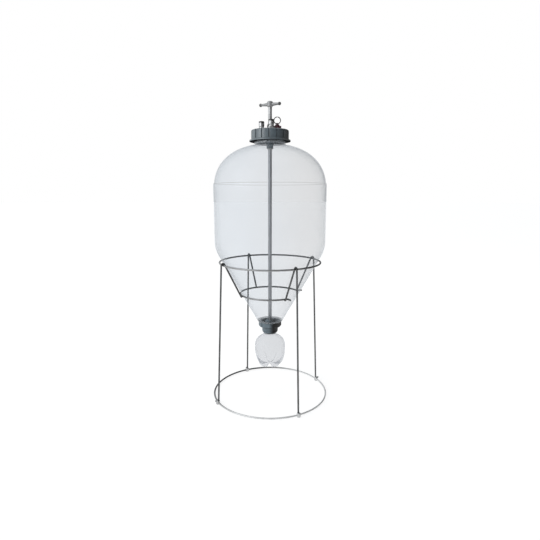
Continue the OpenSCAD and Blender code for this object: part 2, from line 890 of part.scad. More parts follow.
function bottle_outline(inset, neck_r) = concat(
    arc([base_dome[0], base_dome[1]], base_dome[2] - inset, -90, -70, 2),
    arc([base_corner[0], base_corner[1]], base_corner[2] - inset, -60, -25, 4),
    [[bottle_r - flank_step[0] - inset, flank_z[0]], [bottle_r - flank_step[1] - inset, flank_z[1]]],
    [[bottle_r - inset, flank_z[2]], [bottle_r - inset, flank_z[3]]],
    arc([crown[0], crown[1]], crown[2] - inset, 6, 60, 6),
    [[throat[0] - inset, throat[1]], [neck_r, bottle_ring[1] - inset]],
    [[neck_r, bottle_neck[1]], [0, bottle_neck[1]]]
);

module bottle_body(inset, neck_r) {
    turned(bottle_outline(inset, neck_r));
    for (i = [0:bottle_feet - 1])
        rotate([0, 0, bottle_turn + 360 * (i + 0.5) / bottle_feet])
            translate([foot_at_r, 0, bottle_foot_z + foot_ball_r])
                sphere(r = foot_ball_r - inset);
}

module collection_bottle() {
    color(clear_pet)
        difference() {
            union() {
                bottle_body(0, bottle_neck[0]);
                translate([0, 0, bottle_ring[1]])
                    cylinder(r = bottle_ring[0], h = bottle_ring[2] - bottle_ring[1]);
            }
            bottle_body(bottle_wall, adapter_bore_r);
            translate([0, 0, bottle_neck[1] - over])
                cylinder(r = adapter_bore_r, h = 2 * over);
        }
}

base_ring();
top_ring();
cradle_ring();
leg_back_right();
leg_back_left();
leg_front_left();
leg_front_right();
foot_screws();
vessel();
lid_seal();
lid_plate();
lid_collar();
rod_bush();
gland_seals();
gland_nut();
gas_post();
gas_poppet();
gas_poppet_spring();
liquid_post();
liquid_poppet();
liquid_poppet_spring();
post_base_seals();
post_top_seals();
port_nuts();
relief_body();
relief_stem();
relief_spring();
relief_seal();
relief_base_seal();
relief_ring();
valve_plug();
plug_seal();
plug_clip();
valve_rod();
handle_hub();
handle_bar();
handle_screw();
bottom_gasket();
bottom_cap();
valve_seat();
bottle_adapter();
bottle_gasket();
collection_bottle();
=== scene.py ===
import json
import math

import bmesh
import bpy
from mathutils import Matrix, Vector, noise


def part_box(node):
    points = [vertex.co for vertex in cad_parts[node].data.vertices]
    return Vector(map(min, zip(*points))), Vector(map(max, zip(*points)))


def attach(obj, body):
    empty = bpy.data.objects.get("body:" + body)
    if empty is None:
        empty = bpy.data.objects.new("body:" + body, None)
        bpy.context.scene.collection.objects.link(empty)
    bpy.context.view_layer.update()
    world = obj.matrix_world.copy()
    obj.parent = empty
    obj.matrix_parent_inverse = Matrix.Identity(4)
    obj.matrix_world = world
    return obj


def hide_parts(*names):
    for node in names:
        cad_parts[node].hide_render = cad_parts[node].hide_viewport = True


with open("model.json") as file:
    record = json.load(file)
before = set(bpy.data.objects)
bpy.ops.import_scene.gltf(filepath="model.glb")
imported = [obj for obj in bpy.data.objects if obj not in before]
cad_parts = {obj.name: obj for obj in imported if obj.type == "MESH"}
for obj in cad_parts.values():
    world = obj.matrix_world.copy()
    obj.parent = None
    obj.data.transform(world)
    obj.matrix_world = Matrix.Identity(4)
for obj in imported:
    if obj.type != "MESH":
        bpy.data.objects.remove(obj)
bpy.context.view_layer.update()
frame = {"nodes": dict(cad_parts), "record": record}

MM = 0.001

# Points closer than this, in metres, are one point
MERGE = 1e-7
# A rounded corner uses at most this share of either side
CORNER_SHARE = 0.49
# How a bar's end rounds off: its length in radii, and (radii from the tip, share of the radius) on the way
END_LENGTH = 0.75
END_ROUNDING = ((0.0, 0.55), (0.28, 0.88))
# How uneven a weld bead is
BEAD_ROUGH = 0.08


# ---------------------------------------------------------------- places taken from the frame

def width_r(node):
    """Outer radius of a round node that stands on the Z axis, in metres."""
    low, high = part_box(node)
    return (high.x - low.x) / 2


def centre(node):
    low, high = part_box(node)
    return (low + high) / 2


def heights(node):
    """Lowest and highest Z of a node, in mm."""
    low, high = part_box(node)
    return low.z / MM, high.z / MM


def port_matrix(node):
    """Moves a shape made on the Z axis to a port on the lid, turned to face outwards."""
    middle = centre(node)
    return Matrix.Translation((middle.x, middle.y, 0)) @ Matrix.Rotation(
        math.atan2(middle.y, middle.x) + math.pi / 2, 4, "Z")


# ---------------------------------------------------------------- angles and curves

def even(count, start=0.0):
    return [start + 2 * math.pi * i / count for i in range(count)]


def polar(radius, degrees):
    return Vector((radius * math.cos(math.radians(degrees)), radius * math.sin(math.radians(degrees))))


def at_angle(r, z, degrees):
    """A point in mm at a radius and a height, turned about Z."""
    flat = polar(r, degrees)
    return (flat.x, flat.y, z)


def arc_points(middle, radius, start, stop, steps):
    """Points of an arc in a plane, from one angle to another in degrees."""
    return [Vector(middle) + polar(radius, start + (stop - start) * i / steps) for i in range(steps + 1)]


def off_centre(a, count, first):
    """Signed angle from the nearest of some evenly spaced places round a circle."""
    step = 2 * math.pi / count
    return (a - first + step / 2) % step - step / 2


def ease(t):
    """A soft step from 0 to 1."""
    t = min(max(t, 0.0), 1.0)
    return t * t * (3 - 2 * t)


def smooth_line(points, steps):
    """Catmull-Rom curve through 2D points."""
    out = []
    for i in range(len(points) - 1):
        p0 = Vector(points[max(i - 1, 0)])
        p1, p2 = Vector(points[i]), Vector(points[i + 1])
        p3 = Vector(points[min(i + 2, len(points) - 1)])
        for k in range(steps):
            t = k / steps
            out.append(0.5 * (2 * p1 + (p2 - p0) * t + (2 * p0 - 5 * p1 + 4 * p2 - p3) * t * t
                              + (3 * p1 - p0 - 3 * p2 + p3) * t ** 3))
    out.append(Vector(points[-1]))
    return out


def rounded(points, steps=4, closed=True):
    """Rounds the corners of a half-section. A point is (r, z, radius) or (r, z, radius, tag), and comes back
    as (r, z, tag)."""
    out = []
    count = len(points)
    for i, (r, z, radius, *tags) in enumerate(points):
        tag = tags[0] if tags else 0.0
        ends = not closed and i in (0, count - 1)
        if radius <= 0 or ends:
            out.append((r, z, tag))
            continue
        here = Vector((r, z))
        back = Vector(points[i - 1][:2]) - here
        on = Vector(points[(i + 1) % count][:2]) - here
        reach = min(radius, CORNER_SHARE * back.length, CORNER_SHARE * on.length)
        a = here + back.normalized() * reach
        b = here + on.normalized() * reach
        for k in range(steps + 1):
            t = k / steps
            p = a * (1 - t) ** 2 + here * (2 * t * (1 - t)) + b * t * t
            out.append((p.x, p.y, tag))
    return out


# ---------------------------------------------------------------- mesh helpers

def finish_mesh(name, bm, material, sharp=38.0):
    """Makes a closed, outward-facing object whose edges sharper than an angle, in degrees, stay crisp."""
    bmesh.ops.remove_doubles(bm, verts=bm.verts, dist=MERGE)
    bmesh.ops.recalc_face_normals(bm, faces=bm.faces)
    for face in bm.faces:
        face.smooth = True
    limit = math.radians(sharp)
    for edge in bm.edges:
        if len(edge.link_faces) == 2 and edge.calc_face_angle(0.0) > limit:
            edge.smooth = False
    mesh = bpy.data.meshes.new(name)
    bm.to_mesh(mesh)
    bm.free()
    obj = bpy.data.objects.new(name, mesh)
    bpy.context.scene.collection.objects.link(obj)
    obj.data.materials.append(material)
    return obj


def place(obj, body, slot, *nodes):
    """Ties a piece to its body, and lets it stand in for CAD nodes by hiding them; slot is not used."""
    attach(obj, body)
    if nodes:
        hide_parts(*nodes)


def band(bm, lower, upper):
    """Faces between two rings of points. A ring of one point is a tip on the axis."""
    count = max(len(lower), len(upper))
    if count == 1:
        return
    for i in range(count):
        j = (i + 1) % count
        if len(lower) == 1:
            bm.faces.new((lower[0], upper[j], upper[i]))
        elif len(upper) == 1:
            bm.faces.new((lower[i], lower[j], upper[0]))
        else:
            bm.faces.new((lower[i], lower[j], upper[j], upper[i]))


def spin(bm, profile, angles, shape=None, closed=True, matrix=None):
    """Turns a half-section of (r, z, tag) points in mm about Z. shape(angle, r, z, tag) may move a point."""
    rings = []
    for r, z, tag in profile:
        if r < 1e-6:
            rings.append([bm.verts.new((0, 0, z * MM))])
            continue
        ring = []
        for a in angles:
            radius, height = (shape(a, r, z, tag) if shape else (r, z))
            ring.append(bm.verts.new((radius * math.cos(a) * MM, radius * math.sin(a) * MM, height * MM)))
        rings.append(ring)
    pairs = list(zip(rings, rings[1:]))
    if closed:
        pairs.append((rings[-1], rings[0]))
    for lower, upper in pairs:
        band(bm, lower, upper)
    if matrix is not None:
        bmesh.ops.transform(bm, matrix=matrix, verts=[v for ring in rings for v in ring])


def sweep(bm, path, radius, sides=18, closed=False):
    """Round bar along a 3D path in mm. An open bar's ends are slightly rounded."""
    points = [Vector(p) for p in path]
    count = len(points)
    stations = []
    for i, point in enumerate(points):
        before = points[(i - 1) % count] if closed or i else points[0]
        after = points[(i + 1) % count] if closed or i < count - 1 else points[-1]
        stations.append((point, (after - before).normalized(), 1.0))
    if not closed:
        first, way_in, _ = stations[0]
        last, way_out, _ = stations[-1]
        stations[0] = (first + way_in * radius * END_LENGTH, way_in, 1.0)
        stations[-1] = (last - way_out * radius * END_LENGTH, way_out, 1.0)
        front = [(first + way_in * radius * back, way_in, share) for back, share in END_ROUNDING]
        rear = [(last - way_out * radius * back, way_out, share) for back, share in reversed(END_ROUNDING)]
        stations = front + stations + rear
    normal = stations[0][1].orthogonal().normalized()
    rings = []
    for point, way, share in stations:
        normal = (normal - way * normal.dot(way)).normalized()
        side = way.cross(normal)
        rings.append([
            bm.verts.new((point + (normal * math.cos(a) + side * math.sin(a)) * radius * share) * MM)
            for a in even(sides)
        ])
    for lower, upper in zip(rings, rings[1:]):
        band(bm, lower, upper)
    if closed:
        band(bm, rings[-1], rings[0])
    else:
        bm.faces.new(list(reversed(rings[0])))
        bm.faces.new(rings[-1])


def turn_piece(name, material, profile, angles, shape=None, closed=True, matrix=None, sharp=38.0):
    """A whole piece made by spin()."""
    bm = bmesh.new()
    spin(bm, profile, angles, shape, closed, matrix)
    return finish_mesh(name, bm, material, sharp)


def wire_piece(name, material, path, radius, sides=18, closed=False):
    """A whole piece made by sweep()."""
    bm = bmesh.new()
    sweep(bm, path, radius, sides, closed)
    return finish_mesh(name, bm, material)


def blob(bm, middle, size, seed, facing):
    """A weld bead: an uneven rounded lump turned by a rotation, sizes in mm."""
    made = bmesh.ops.create_icosphere(bm, subdivisions=3, radius=1.0)["verts"]
    for v in made:
        wobble = 1 + BEAD_ROUGH * noise.noise(v.co * 2.3 + Vector((seed, seed * 0.7, 0)))
        v.co = Vector((v.co.x * size[0], v.co.y * size[1], v.co.z * size[2])) * wobble * MM
    bmesh.ops.transform(bm, matrix=Matrix.Translation(Vector(middle) * MM) @ facing.to_4x4(), verts=made)


def hex_shape(corner):
    """Shape for spin(): tagged points keep within a hexagon of a corner radius."""
    def shape(a, r, z, tag):
        flat = corner * math.cos(math.pi / 6) / math.cos(a % (math.pi / 3) - math.pi / 6)
        return (min(r, flat) if tag else r), z
    return shape


# ---------------------------------------------------------------- material helpers

class Nodes:
    """Short calls for building a node material."""

    def __init__(self, name):
        self.material = bpy.data.materials.new(name)
        self.material.use_nodes = True
        self.tree = self.material.node_tree
        self.tree.nodes.clear()
        self.out = self.tree.nodes.new("ShaderNodeOutputMaterial")
        self.coord = self.tree.nodes.new("ShaderNodeTexCoord")

    def add(self, kind, **settings):
        node = self.tree.nodes.new(kind)
        for key, value in settings.items():
            setattr(node, key, value)
        return node

    def feed(self, socket, value):
        if isinstance(value, bpy.types.NodeSocket):
            self.tree.links.new(value, socket)
        else:
            socket.default_value = value

    def place(self, scale=(1, 1, 1)):
        mapping = self.add("ShaderNodeMapping")
        mapping.inputs["Scale"].default_value = scale
        self.feed(mapping.inputs["Vector"], self.coord.outputs["Object"])
        return mapping.outputs[0]

    def noise(self, scale, detail=3.0, stretch=(1, 1, 1)):
        node = self.add("ShaderNodeTexNoise")
        self.feed(node.inputs["Vector"], self.place(stretch))
        node.inputs["Scale"].default_value = scale
        node.inputs["Detail"].default_value = detail
        node.inputs["Roughness"].default_value = 0.55
        return node.outputs["Fac"]

    def remap(self, value, low, high, from_low=0.3, from_high=0.7):
        node = self.add("ShaderNodeMapRange")
        self.feed(node.inputs["Value"], value)
        node.inputs["From Min"].default_value = from_low
        node.inputs["From Max"].default_value = from_high
        node.inputs["To Min"].default_value = low
        node.inputs["To Max"].default_value = high
        return node.outputs[0]

    def blend(self, share, first, second):
        """Mix of two colours: sockets 6 and 7 of the node, and its output 2, are the colour ones."""
        node = self.add("ShaderNodeMix", data_type="RGBA")
        self.feed(node.inputs[0], share)
        self.feed(node.inputs[6], first)
        self.feed(node.inputs[7], second)
        return node.outputs[2]

    def math(self, operation, a, b):
        node = self.add("ShaderNodeMath", operation=operation)
        self.feed(node.inputs[0], a)
        self.feed(node.inputs[1], b)
        return node.outputs[0]

    def along(self, direction):
        """Place on the object along a direction, in metres, or its distance from the Z axis for "out"."""
        if direction == "out":
            node = self.add("ShaderNodeVectorMath", operation="LENGTH")
            self.feed(node.inputs[0], self.place((1, 1, 0)))
        else:
            node = self.add("ShaderNodeVectorMath", operation="DOT_PRODUCT")
            self.feed(node.inputs[0], self.coord.outputs["Object"])
            node.inputs[1].default_value = direction
        return node.outputs["Value"]

    def bump(self, height, strength, distance):
        node = self.add("ShaderNodeBump")
        node.inputs["Strength"].default_value = strength
        node.inputs["Distance"].default_value = distance
        self.feed(node.inputs["Height"], height)
        return node.outputs[0]

    def edges(self):
        """1 on worn convex edges, 0 elsewhere."""
        return self.remap(self.add("ShaderNodeNewGeometry").outputs["Pointiness"], 0.0, 1.0, 0.52, 0.62)

    def groove_shade_mask(self):
        """1 in grooves and corners, 0 elsewhere; plastic() paints shade there."""
        return self.remap(self.add("ShaderNodeNewGeometry").outputs["Pointiness"], 1.0, 0.0, 0.44, 0.49)

    def unshaded_share(self):
        """0 on a surface that faces straight down, 1 on any other; plastic() paints shade and takes gloss off
        where it is 0.
        """
        slope = self.add("ShaderNodeSeparateXYZ")
        self.feed(slope.inputs[0], self.add("ShaderNodeNewGeometry").outputs["Normal"])
        return self.remap(slope.outputs["Z"], 0.0, 1.0, -0.8, -0.4)

    def surface(self, shader):
        self.feed(self.out.inputs["Surface"], shader)
        return self.material


def grey(value, tint=(0.0, 0.0, 0.0)):
    return (value + tint[0], value + tint[1], value + tint[2], 1.0)


def steel(name, light, dark, rough, lines=(1, 1, 1), line_scale=900.0, line_depth=0.15, spots=0.25,
          fade=None, metal=1.0):
    """Metal with drawn or turned lines, handling marks and a slight change of tone. fade is (direction, from,
    to, light, dark): where along a direction, in metres, the tones change to another pair."""
    n = Nodes(name)
    tone = n.noise(38.0, 4.0)
    marks = n.noise(line_scale, 2.0, lines)
    smears = n.noise(14.0)
    colour = n.blend(n.remap(tone, 0.0, 1.0), dark, light)
    streak = dark
    if fade:
        direction, start, stop, far_light, far_dark = fade
        share = n.remap(n.along(direction), 0.0, 1.0, start, stop)
        colour = n.blend(share, colour, n.blend(n.remap(tone, 0.0, 1.0), far_dark, far_light))
        streak = n.blend(share, dark, far_dark)
    streaked = n.blend(n.remap(marks, 0.0, spots), colour, streak)
    roughness = n.math("ADD", n.remap(smears, rough - 0.05, rough + 0.09), n.remap(marks, -0.04, 0.05))
    shader = n.add("ShaderNodeBsdfPrincipled")
    shader.inputs["Metallic"].default_value = metal
    n.feed(shader.inputs["Base Color"], streaked)
    n.feed(shader.inputs["Roughness"], roughness)
    n.feed(shader.inputs["Normal"], n.bump(marks, line_depth, 0.0004))
    return n.surface(shader.outputs[0])


# Painted shade: the colour plastic is given in its grooves and on a face that looks straight down
GROOVE_PAINTED_SHADE = (0.004, 0.005, 0.007, 1)
UNDERSIDE_PAINTED_SHADE = (0.013, 0.014, 0.015, 1)


def plastic(name, base, light, rough, grain=0.12, grain_scale=1400.0, worn=0.5, coat=0.0, gloss=0.5,
            fade=None):
    """Moulded plastic: fine grain, flow streaks, paler rubbed edges, painted shade in grooves, and painted
    shade with less gloss on faces that look down. fade is (from, to, base, light): where along X, in metres,
    the two tones change to another pair, painting the lit left side lighter and the right side darker."""
    n = Nodes(name)
    flow = n.noise(26.0, 3.0, (1, 1, 0.35))
    speck = n.noise(grain_scale, 2.0)
    unshaded_share = n.unshaded_share()

    def rubbed_tone(low_tone, high_tone):
        tone = n.blend(n.remap(flow, 0.0, 0.35), low_tone, high_tone)
        return n.blend(n.math("MULTIPLY", n.edges(), worn), tone, high_tone)

    colour = rubbed_tone(base, light)
    if fade:
        start, stop, far_base, far_light = fade
        share = n.remap(n.along((1, 0, 0)), 0.0, 1.0, start, stop)
        colour = n.blend(share, colour, rubbed_tone(far_base, far_light))
    # Painted shade in grooves and corners
    colour = n.blend(n.remap(n.groove_shade_mask(), 0.0, 0.8, 0.0, 1.0), colour, GROOVE_PAINTED_SHADE)
    # Painted shade on faces that look down
    colour = n.blend(unshaded_share, UNDERSIDE_PAINTED_SHADE, colour)
    roughness = n.math("ADD", n.remap(flow, rough - 0.06, rough + 0.07), n.remap(speck, -0.03, 0.05))
    shader = n.add("ShaderNodeBsdfPrincipled")
    n.feed(shader.inputs["Base Color"], colour)
    n.feed(shader.inputs["Roughness"], roughness)
    # Painted shade: faces that look down lose their gloss
    n.feed(shader.inputs["Specular IOR Level"], n.math("MULTIPLY", unshaded_share, gloss))
    if coat:
        n.feed(shader.inputs["Coat Weight"], n.math("MULTIPLY", unshaded_share, coat))
        shader.inputs["Coat Roughness"].default_value = rough - 0.08
    n.feed(shader.inputs["Normal"], n.bump(speck, grain, 0.0002))
    return n.surface(shader.outputs[0])


def clear_plastic(name, passed, shaded_half_tint, edge, mirror_rough, waves, bands=()):
    """Thin clear blown wall: each face passes a little less light, more so seen edge-on, and mirrors like a
    gloss skin. shaded_half_tint is what the +X half passes, a painted shade; waves are (scale, strength).
    bands are (low z, high z, light passed, painted_reflection_share) rings of thicker plastic, in mm, whose
    last share shows the grey gloss skin as a painted reflection."""
    n = Nodes(name)
    ripple = n.noise(waves[0], 2.0, (1, 1, 0.45))
    layer = n.add("ShaderNodeLayerWeight")
    layer.inputs["Blend"].default_value = 0.5
    facing = layer.outputs["Facing"]
    height = n.along((0, 0, 1))
    # Painted shade: the +X half of the wall passes less light than the left
    body = n.blend(n.remap(n.along((1, 0, 0)), 0.0, 1.0, -0.09, 0.12), passed, shaded_half_tint)
    tint = n.blend(n.math("POWER", facing, 7.0), body, edge)
    tint = n.blend(n.remap(n.noise(9.0, 2.0), 0.0, 0.10), tint, edge)
    mirror = n.remap(n.math("POWER", facing, 4.0), 0.03, 0.36, 0.0, 1.0)
    for low_z, high_z, left, painted_reflection_share in bands:
        rise = n.remap(height, 0.0, 1.0, (low_z - 0.5) * MM, (low_z + 0.5) * MM)
        drop = n.remap(height, 1.0, 0.0, (high_z - 0.5) * MM, (high_z + 0.5) * MM)
        inside_band = n.math("MULTIPLY", rise, drop)
        tint = n.blend(inside_band, tint, grey(left))
        # Painted reflection: part of a band shows the grey gloss skin
        mirror = n.math("MAXIMUM", mirror, n.math("MULTIPLY", inside_band, painted_reflection_share))
    through = n.add("ShaderNodeBsdfTransparent")
    n.feed(through.inputs["Color"], tint)
    skin = n.add("ShaderNodeBsdfPrincipled")
    skin.inputs["Base Color"].default_value = (0.42, 0.45, 0.48, 1)
    skin.inputs["Specular IOR Level"].default_value = 1.0
    skin.inputs["Coat Weight"].default_value = 1.0
    skin.inputs["Coat Roughness"].default_value = 0.03
    n.feed(skin.inputs["Roughness"], n.remap(ripple, mirror_rough, mirror_rough + 0.06))
    n.feed(skin.inputs["Normal"], n.bump(ripple, waves[1], 0.004))
    mix = n.add("ShaderNodeMixShader")
    n.feed(mix.inputs[0], mirror)
    n.feed(mix.inputs[1], through.outputs[0])
    n.feed(mix.inputs[2], skin.outputs[0])
    return n.surface(mix.outputs[0])


# Marks on metal: how the noise is stretched, its scale and its depth
DRAWN = ((1, 1, 0.08), 700.0, 0.12)
TURNED = ((0.1, 0.1, 6.0), 420.0, 0.08)
POLISHED = ((0.1, 0.1, 6.0), 420.0, 0.06)
GROUND = ((0.15, 0.15, 7.0), 380.0, 0.12)
CAST = ((1, 1, 1), 520.0, 0.5)

WIRE = steel("wire_steel", grey(0.14, (0, 0.002, 0.005)), grey(0.07), 0.34, *DRAWN)
# Painted light: the top and cradle rings are the legs' steel made lighter on the front-left, and the base
# ring much lighter on its front and right, each fading to the legs' darker tone beyond
HOOP = steel("hoop_steel_painted_light", grey(0.37, (0, 0.005, 0.011)), grey(0.27), 0.30, *DRAWN,
             fade=((0.6, 0.8, 0), -0.125, -0.02, grey(0.13), grey(0.07)))
BASE_WIRE = steel("base_wire_steel_painted_light", grey(0.74, (0, 0.004, 0.006)), grey(0.60), 0.34, *DRAWN,
                  fade=((-0.8, 0.6, 0), -0.02, 0.15, grey(0.11), grey(0.06)), metal=0.25)
BRIGHT = steel("bright_steel", grey(0.60, (0, 0.006, 0.010)), grey(0.40), 0.28, *TURNED)
POST = steel("post_steel", grey(0.56, (0, 0.003, 0.006)), grey(0.40), 0.15, *POLISHED,
             fade=((0, 0, 1), 0.8725, 0.8735, grey(0.07), grey(0.04)))
HANDLE = steel("handle_steel", grey(0.37, (0, 0.004, 0.008)), grey(0.27), 0.50, *TURNED,
               fade=("out", 0.0270, 0.0295, grey(0.17), grey(0.10)))
# Painted light and shade: the rod is lighter above the lid and darker below, inside the vessel
ROD = steel("rod_steel", grey(0.38, (0, 0.006, 0.020)), grey(0.31, (0, 0.005, 0.016)), 0.42, *GROUND,
            fade=((0, 0, 1), 0.835, 0.855, grey(0.58, (0, 0.006, 0.012)), grey(0.40)))
SPRING = steel("spring_steel", grey(0.030), grey(0.015), 0.50)
WELD = steel("weld_steel", grey(0.20), grey(0.09, (0.010, 0.005, 0.0)), 0.42, *CAST, spots=0.5)
# Painted light and shade: the lid and the cap are lighter and bluer on the lit left and darker to the right,
# the cap near black there
LID = plastic("lid_plastic", grey(0.064, (-0.014, 0.008, 0.022)), grey(0.130, (-0.024, 0.012, 0.034)), 0.30,
              coat=0.7, gloss=0.8, fade=(0.014, 0.056, grey(0.023), grey(0.052)))
CAP = plastic("cap_plastic", grey(0.128, (-0.020, 0.014, 0.036)), grey(0.240, (-0.028, 0.018, 0.046)), 0.40,
              gloss=0.3, fade=(-0.004, 0.010, grey(0.004), grey(0.010)))
GLAND = plastic("gland_plastic", grey(0.007), grey(0.016), 0.50, grain=0.1)
BUSH = plastic("bush_plastic", (0.60, 0.58, 0.52, 1), (0.72, 0.70, 0.65, 1), 0.35)
RUBBER = plastic("seal_rubber", grey(0.012), grey(0.03), 0.62, grain=0.2, grain_scale=900.0, worn=0.3)
RED = plastic("relief_red", (0.055, 0.005, 0.014, 1), (0.120, 0.014, 0.032, 1), 0.34,
              grain=0.05, grain_scale=1200.0, worn=0.7, coat=0.1)

# The cap's seat, the join line under the dome and the neck hold more plastic than the walls; the seat and
# neck bands also show part of the grey gloss skin, a painted reflection of their thick walls
PET = clear_plastic("clear_pet", (0.954, 0.963, 0.973, 1), (0.944, 0.945, 0.947, 1), (0.85, 0.865, 0.88, 1),
                    0.04, (22.0, 0.05),
                    ((225.0, 253.0, 0.78, 0.40), (690.4, 691.9, 0.84, 0.0), (809.5, 850.0, 0.80, 0.38)))
BOTTLE = clear_plastic("bottle_pet", (0.934, 0.938, 0.945, 1), (0.926, 0.928, 0.932, 1),
                       (0.84, 0.85, 0.87, 1), 0.05, (60.0, 0.10))

SLOT_MATERIAL = {
    "stand_wire": WIRE, "bright_steel": BRIGHT, "spring_steel": SPRING, "rod_steel": ROD,
    "clear_pet": PET, "bottle_pet": BOTTLE, "lid_plastic": LID, "cap_plastic": CAP,
    "gland_plastic": GLAND, "bush_plastic": BUSH, "seal_rubber": RUBBER, "relief_red": RED,
}
for part in frame["record"]["subparts"]:
    shown = frame["nodes"][part["node"]]
    for holder in shown.material_slots:
        holder.material = SLOT_MATERIAL[part["material_slot"]]


# ---------------------------------------------------------------- stand

TOP_LOW, TOP_HIGH = heights("top_ring")
WIRE_R = (TOP_HIGH - TOP_LOW) / 2
TOP_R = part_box("top_ring")[1].x / MM - WIRE_R
TOP_Z = (TOP_LOW + TOP_HIGH) / 2
# The turned base ring keeps this far inside the box of the solid one
TRIM = 0.05
BASE_R = 186.25 - TRIM
BASE_Z = 6.0
CRADLE_R = 96.3
CRADLE_Z = sum(heights("cradle_ring")) / 2
CRADLE_SPAN = 270
LEG_FOOT = (185.0, 3.0)
LEG_TURNS = [27.5 + 90 * i for i in range(4)]
LEG_NAMES = ["leg_back_right", "leg_back_left", "leg_front_left", "leg_front_right"]
BEND_R = 5.6
STRUT_TAIL = 1.5
FOOT_R = 187.0
BOSS_R = 6.2
BOSS_H = 13.0
SOCKET_R = 4.4
TAIL_BEND_R = 6
TAIL_LENGTH = 13
RING_STEPS = 144

# A leg goes up outside, over the top ring and down inside to the cradle ring, tangent to a bend round both
outer_run = (LEG_FOOT[0] - TOP_R, TOP_Z - LEG_FOOT[1])
outer_tilt = math.degrees(math.atan(outer_run[0] / outer_run[1])
                          - math.asin(BEND_R / math.hypot(*outer_run)))
strut_run = (TOP_R - CRADLE_R, TOP_Z - CRADLE_Z)
strut_tilt = math.degrees(math.atan(strut_run[0] / strut_run[1])
                          - math.asin(2 * BEND_R / math.hypot(*strut_run)))
strut_end = Vector((CRADLE_R, CRADLE_Z)) + polar(BEND_R, -strut_tilt) + polar(STRUT_TAIL, 270 - strut_tilt)

leg_line = [LEG_FOOT] + arc_points((TOP_R, TOP_Z), BEND_R, outer_tilt, 180 - strut_tilt, 20) + [strut_end]
for name, turn in zip(LEG_NAMES, LEG_TURNS):
    leg = wire_piece(name + "_wire", WIRE, [at_angle(r, z, turn) for r, z in leg_line], WIRE_R)
    place(leg, "stand", "stand_wire", name)


def hoop(name, material, r, z):
    circle = [at_angle(r, z, 360 * i / RING_STEPS) for i in range(RING_STEPS)]
    return wire_piece(name, material, circle, WIRE_R, closed=True)


place(hoop("top_ring_wire", HOOP, TOP_R, TOP_Z), "stand", "stand_wire", "top_ring")
place(hoop("base_ring_wire", BASE_WIRE, BASE_R, BASE_Z), "stand", "stand_wire", "base_ring")

# The cradle ring stays open on the right, and both its ends turn outwards
tail = arc_points((CRADLE_R + TAIL_BEND_R, 4), TAIL_BEND_R, 180, 95, 10)
tail.append(tail[-1] + polar(TAIL_LENGTH, 5))


def on_cradle(point, degrees, side):
    """A point of the wire end, mirrored for side -1, turned about Z at the cradle ring's height."""
    x, y = Matrix.Rotation(math.radians(degrees), 2) @ Vector((point.x, point.y * side))
    return (x, y, CRADLE_Z)


path = [on_cradle(p, LEG_TURNS[0], -1) for p in reversed(tail)]
path += [at_angle(CRADLE_R, CRADLE_Z, LEG_TURNS[0] + CRADLE_SPAN * i / 108) for i in range(109)]
path += [on_cradle(p, LEG_TURNS[3], 1) for p in tail]
place(wire_piece("cradle_ring_wire", HOOP, path, WIRE_R), "stand", "stand_wire", "cradle_ring")

bm = bmesh.new()
boss = rounded([(0, 0, 0), (BOSS_R - 0.8, 0, 0.6), (BOSS_R, 0.9, 0.6), (BOSS_R, BOSS_H - 1.6, 1.2),
                (BOSS_R - 1.6, BOSS_H, 1.0), (SOCKET_R, BOSS_H, 0.3), (SOCKET_R - 1, BOSS_H - 0.9, 0.3),
                (0, BOSS_H - 0.9, 0)], closed=False)
for turn in LEG_TURNS:
    foot = Matrix.Translation(Vector(at_angle(FOOT_R, 0, turn)) * MM)
    spin(bm, boss, even(48), closed=False, matrix=foot)
place(finish_mesh("foot_bosses", bm, BRIGHT), "stand", "bright_steel", "base_ring")

# Two weld beads where each leg meets the cradle ring, and two where it crosses the top ring
bm = bmesh.new()
for i, turn in enumerate(LEG_TURNS):
    facing = Matrix.Rotation(math.radians(turn), 3, "Z")
    touch = Vector(at_angle(CRADLE_R + BEND_R / 2, CRADLE_Z - 0.3, turn))
    for side in (-1, 1):
        offset = facing @ Vector((0, side * 2.3, side * 0.4))
        blob(bm, touch + offset, (2.3, 1.9, 2.6), 3.1 * i + side, facing)
    for side in (-1, 1):
        top = Vector(at_angle(TOP_R, TOP_Z + 2.6, turn)) + facing @ Vector((0, side * 2.5, 0))
        blob(bm, top, (2.2, 1.3, 1.2), 1.7 * i + side, facing)
place(finish_mesh("weld_beads", bm, WELD), "stand", "stand_wire")


# ---------------------------------------------------------------- vessel

VESSEL_R = width_r("vessel") / MM
FOOT_Z, RIM_Z = heights("vessel")
WALL = 1.5
CONE_ANGLE = 29.5
CONE_SLOPE = math.tan(math.radians(CONE_ANGLE))
CONE_FOOT = (40.6, 251.0)
SHOULDER_Z = 250.4
SHOULDER_BLEND = 4.0
BLEND_R = 100.0
BLEND_Z = (CONE_FOOT[1] + (VESSEL_R - CONE_FOOT[0]) / CONE_SLOPE
           + BLEND_R * math.tan(math.radians(CONE_ANGLE) / 2))
SEAM_Z = 692.0
DOME_R, DOME_H, DOME_Z, DOME_POWER = 172.9, 134.0, 676.0, 2.27
FOOT_OUT_R, FOOT_IN_R = 27.5, 25.5
NECK_OUT_R, NECK_IN_R = 46.0, 44.0
NECK_RING_R, NECK_RING_LOW, NECK_RING_HIGH = 49.0, 810.5, 813.5


def cone_radius(z):
    return CONE_FOOT[0] + (z - CONE_FOOT[1]) * CONE_SLOPE


def dome_height(r, inset):
    return DOME_Z + (DOME_H - inset) * (1 - (r / (DOME_R - inset)) ** DOME_POWER) ** (1 / DOME_POWER)


def dome_radius(z, inset):
    return (DOME_R - inset) * (1 - ((z - DOME_Z) / (DOME_H - inset)) ** DOME_POWER) ** (1 / DOME_POWER)


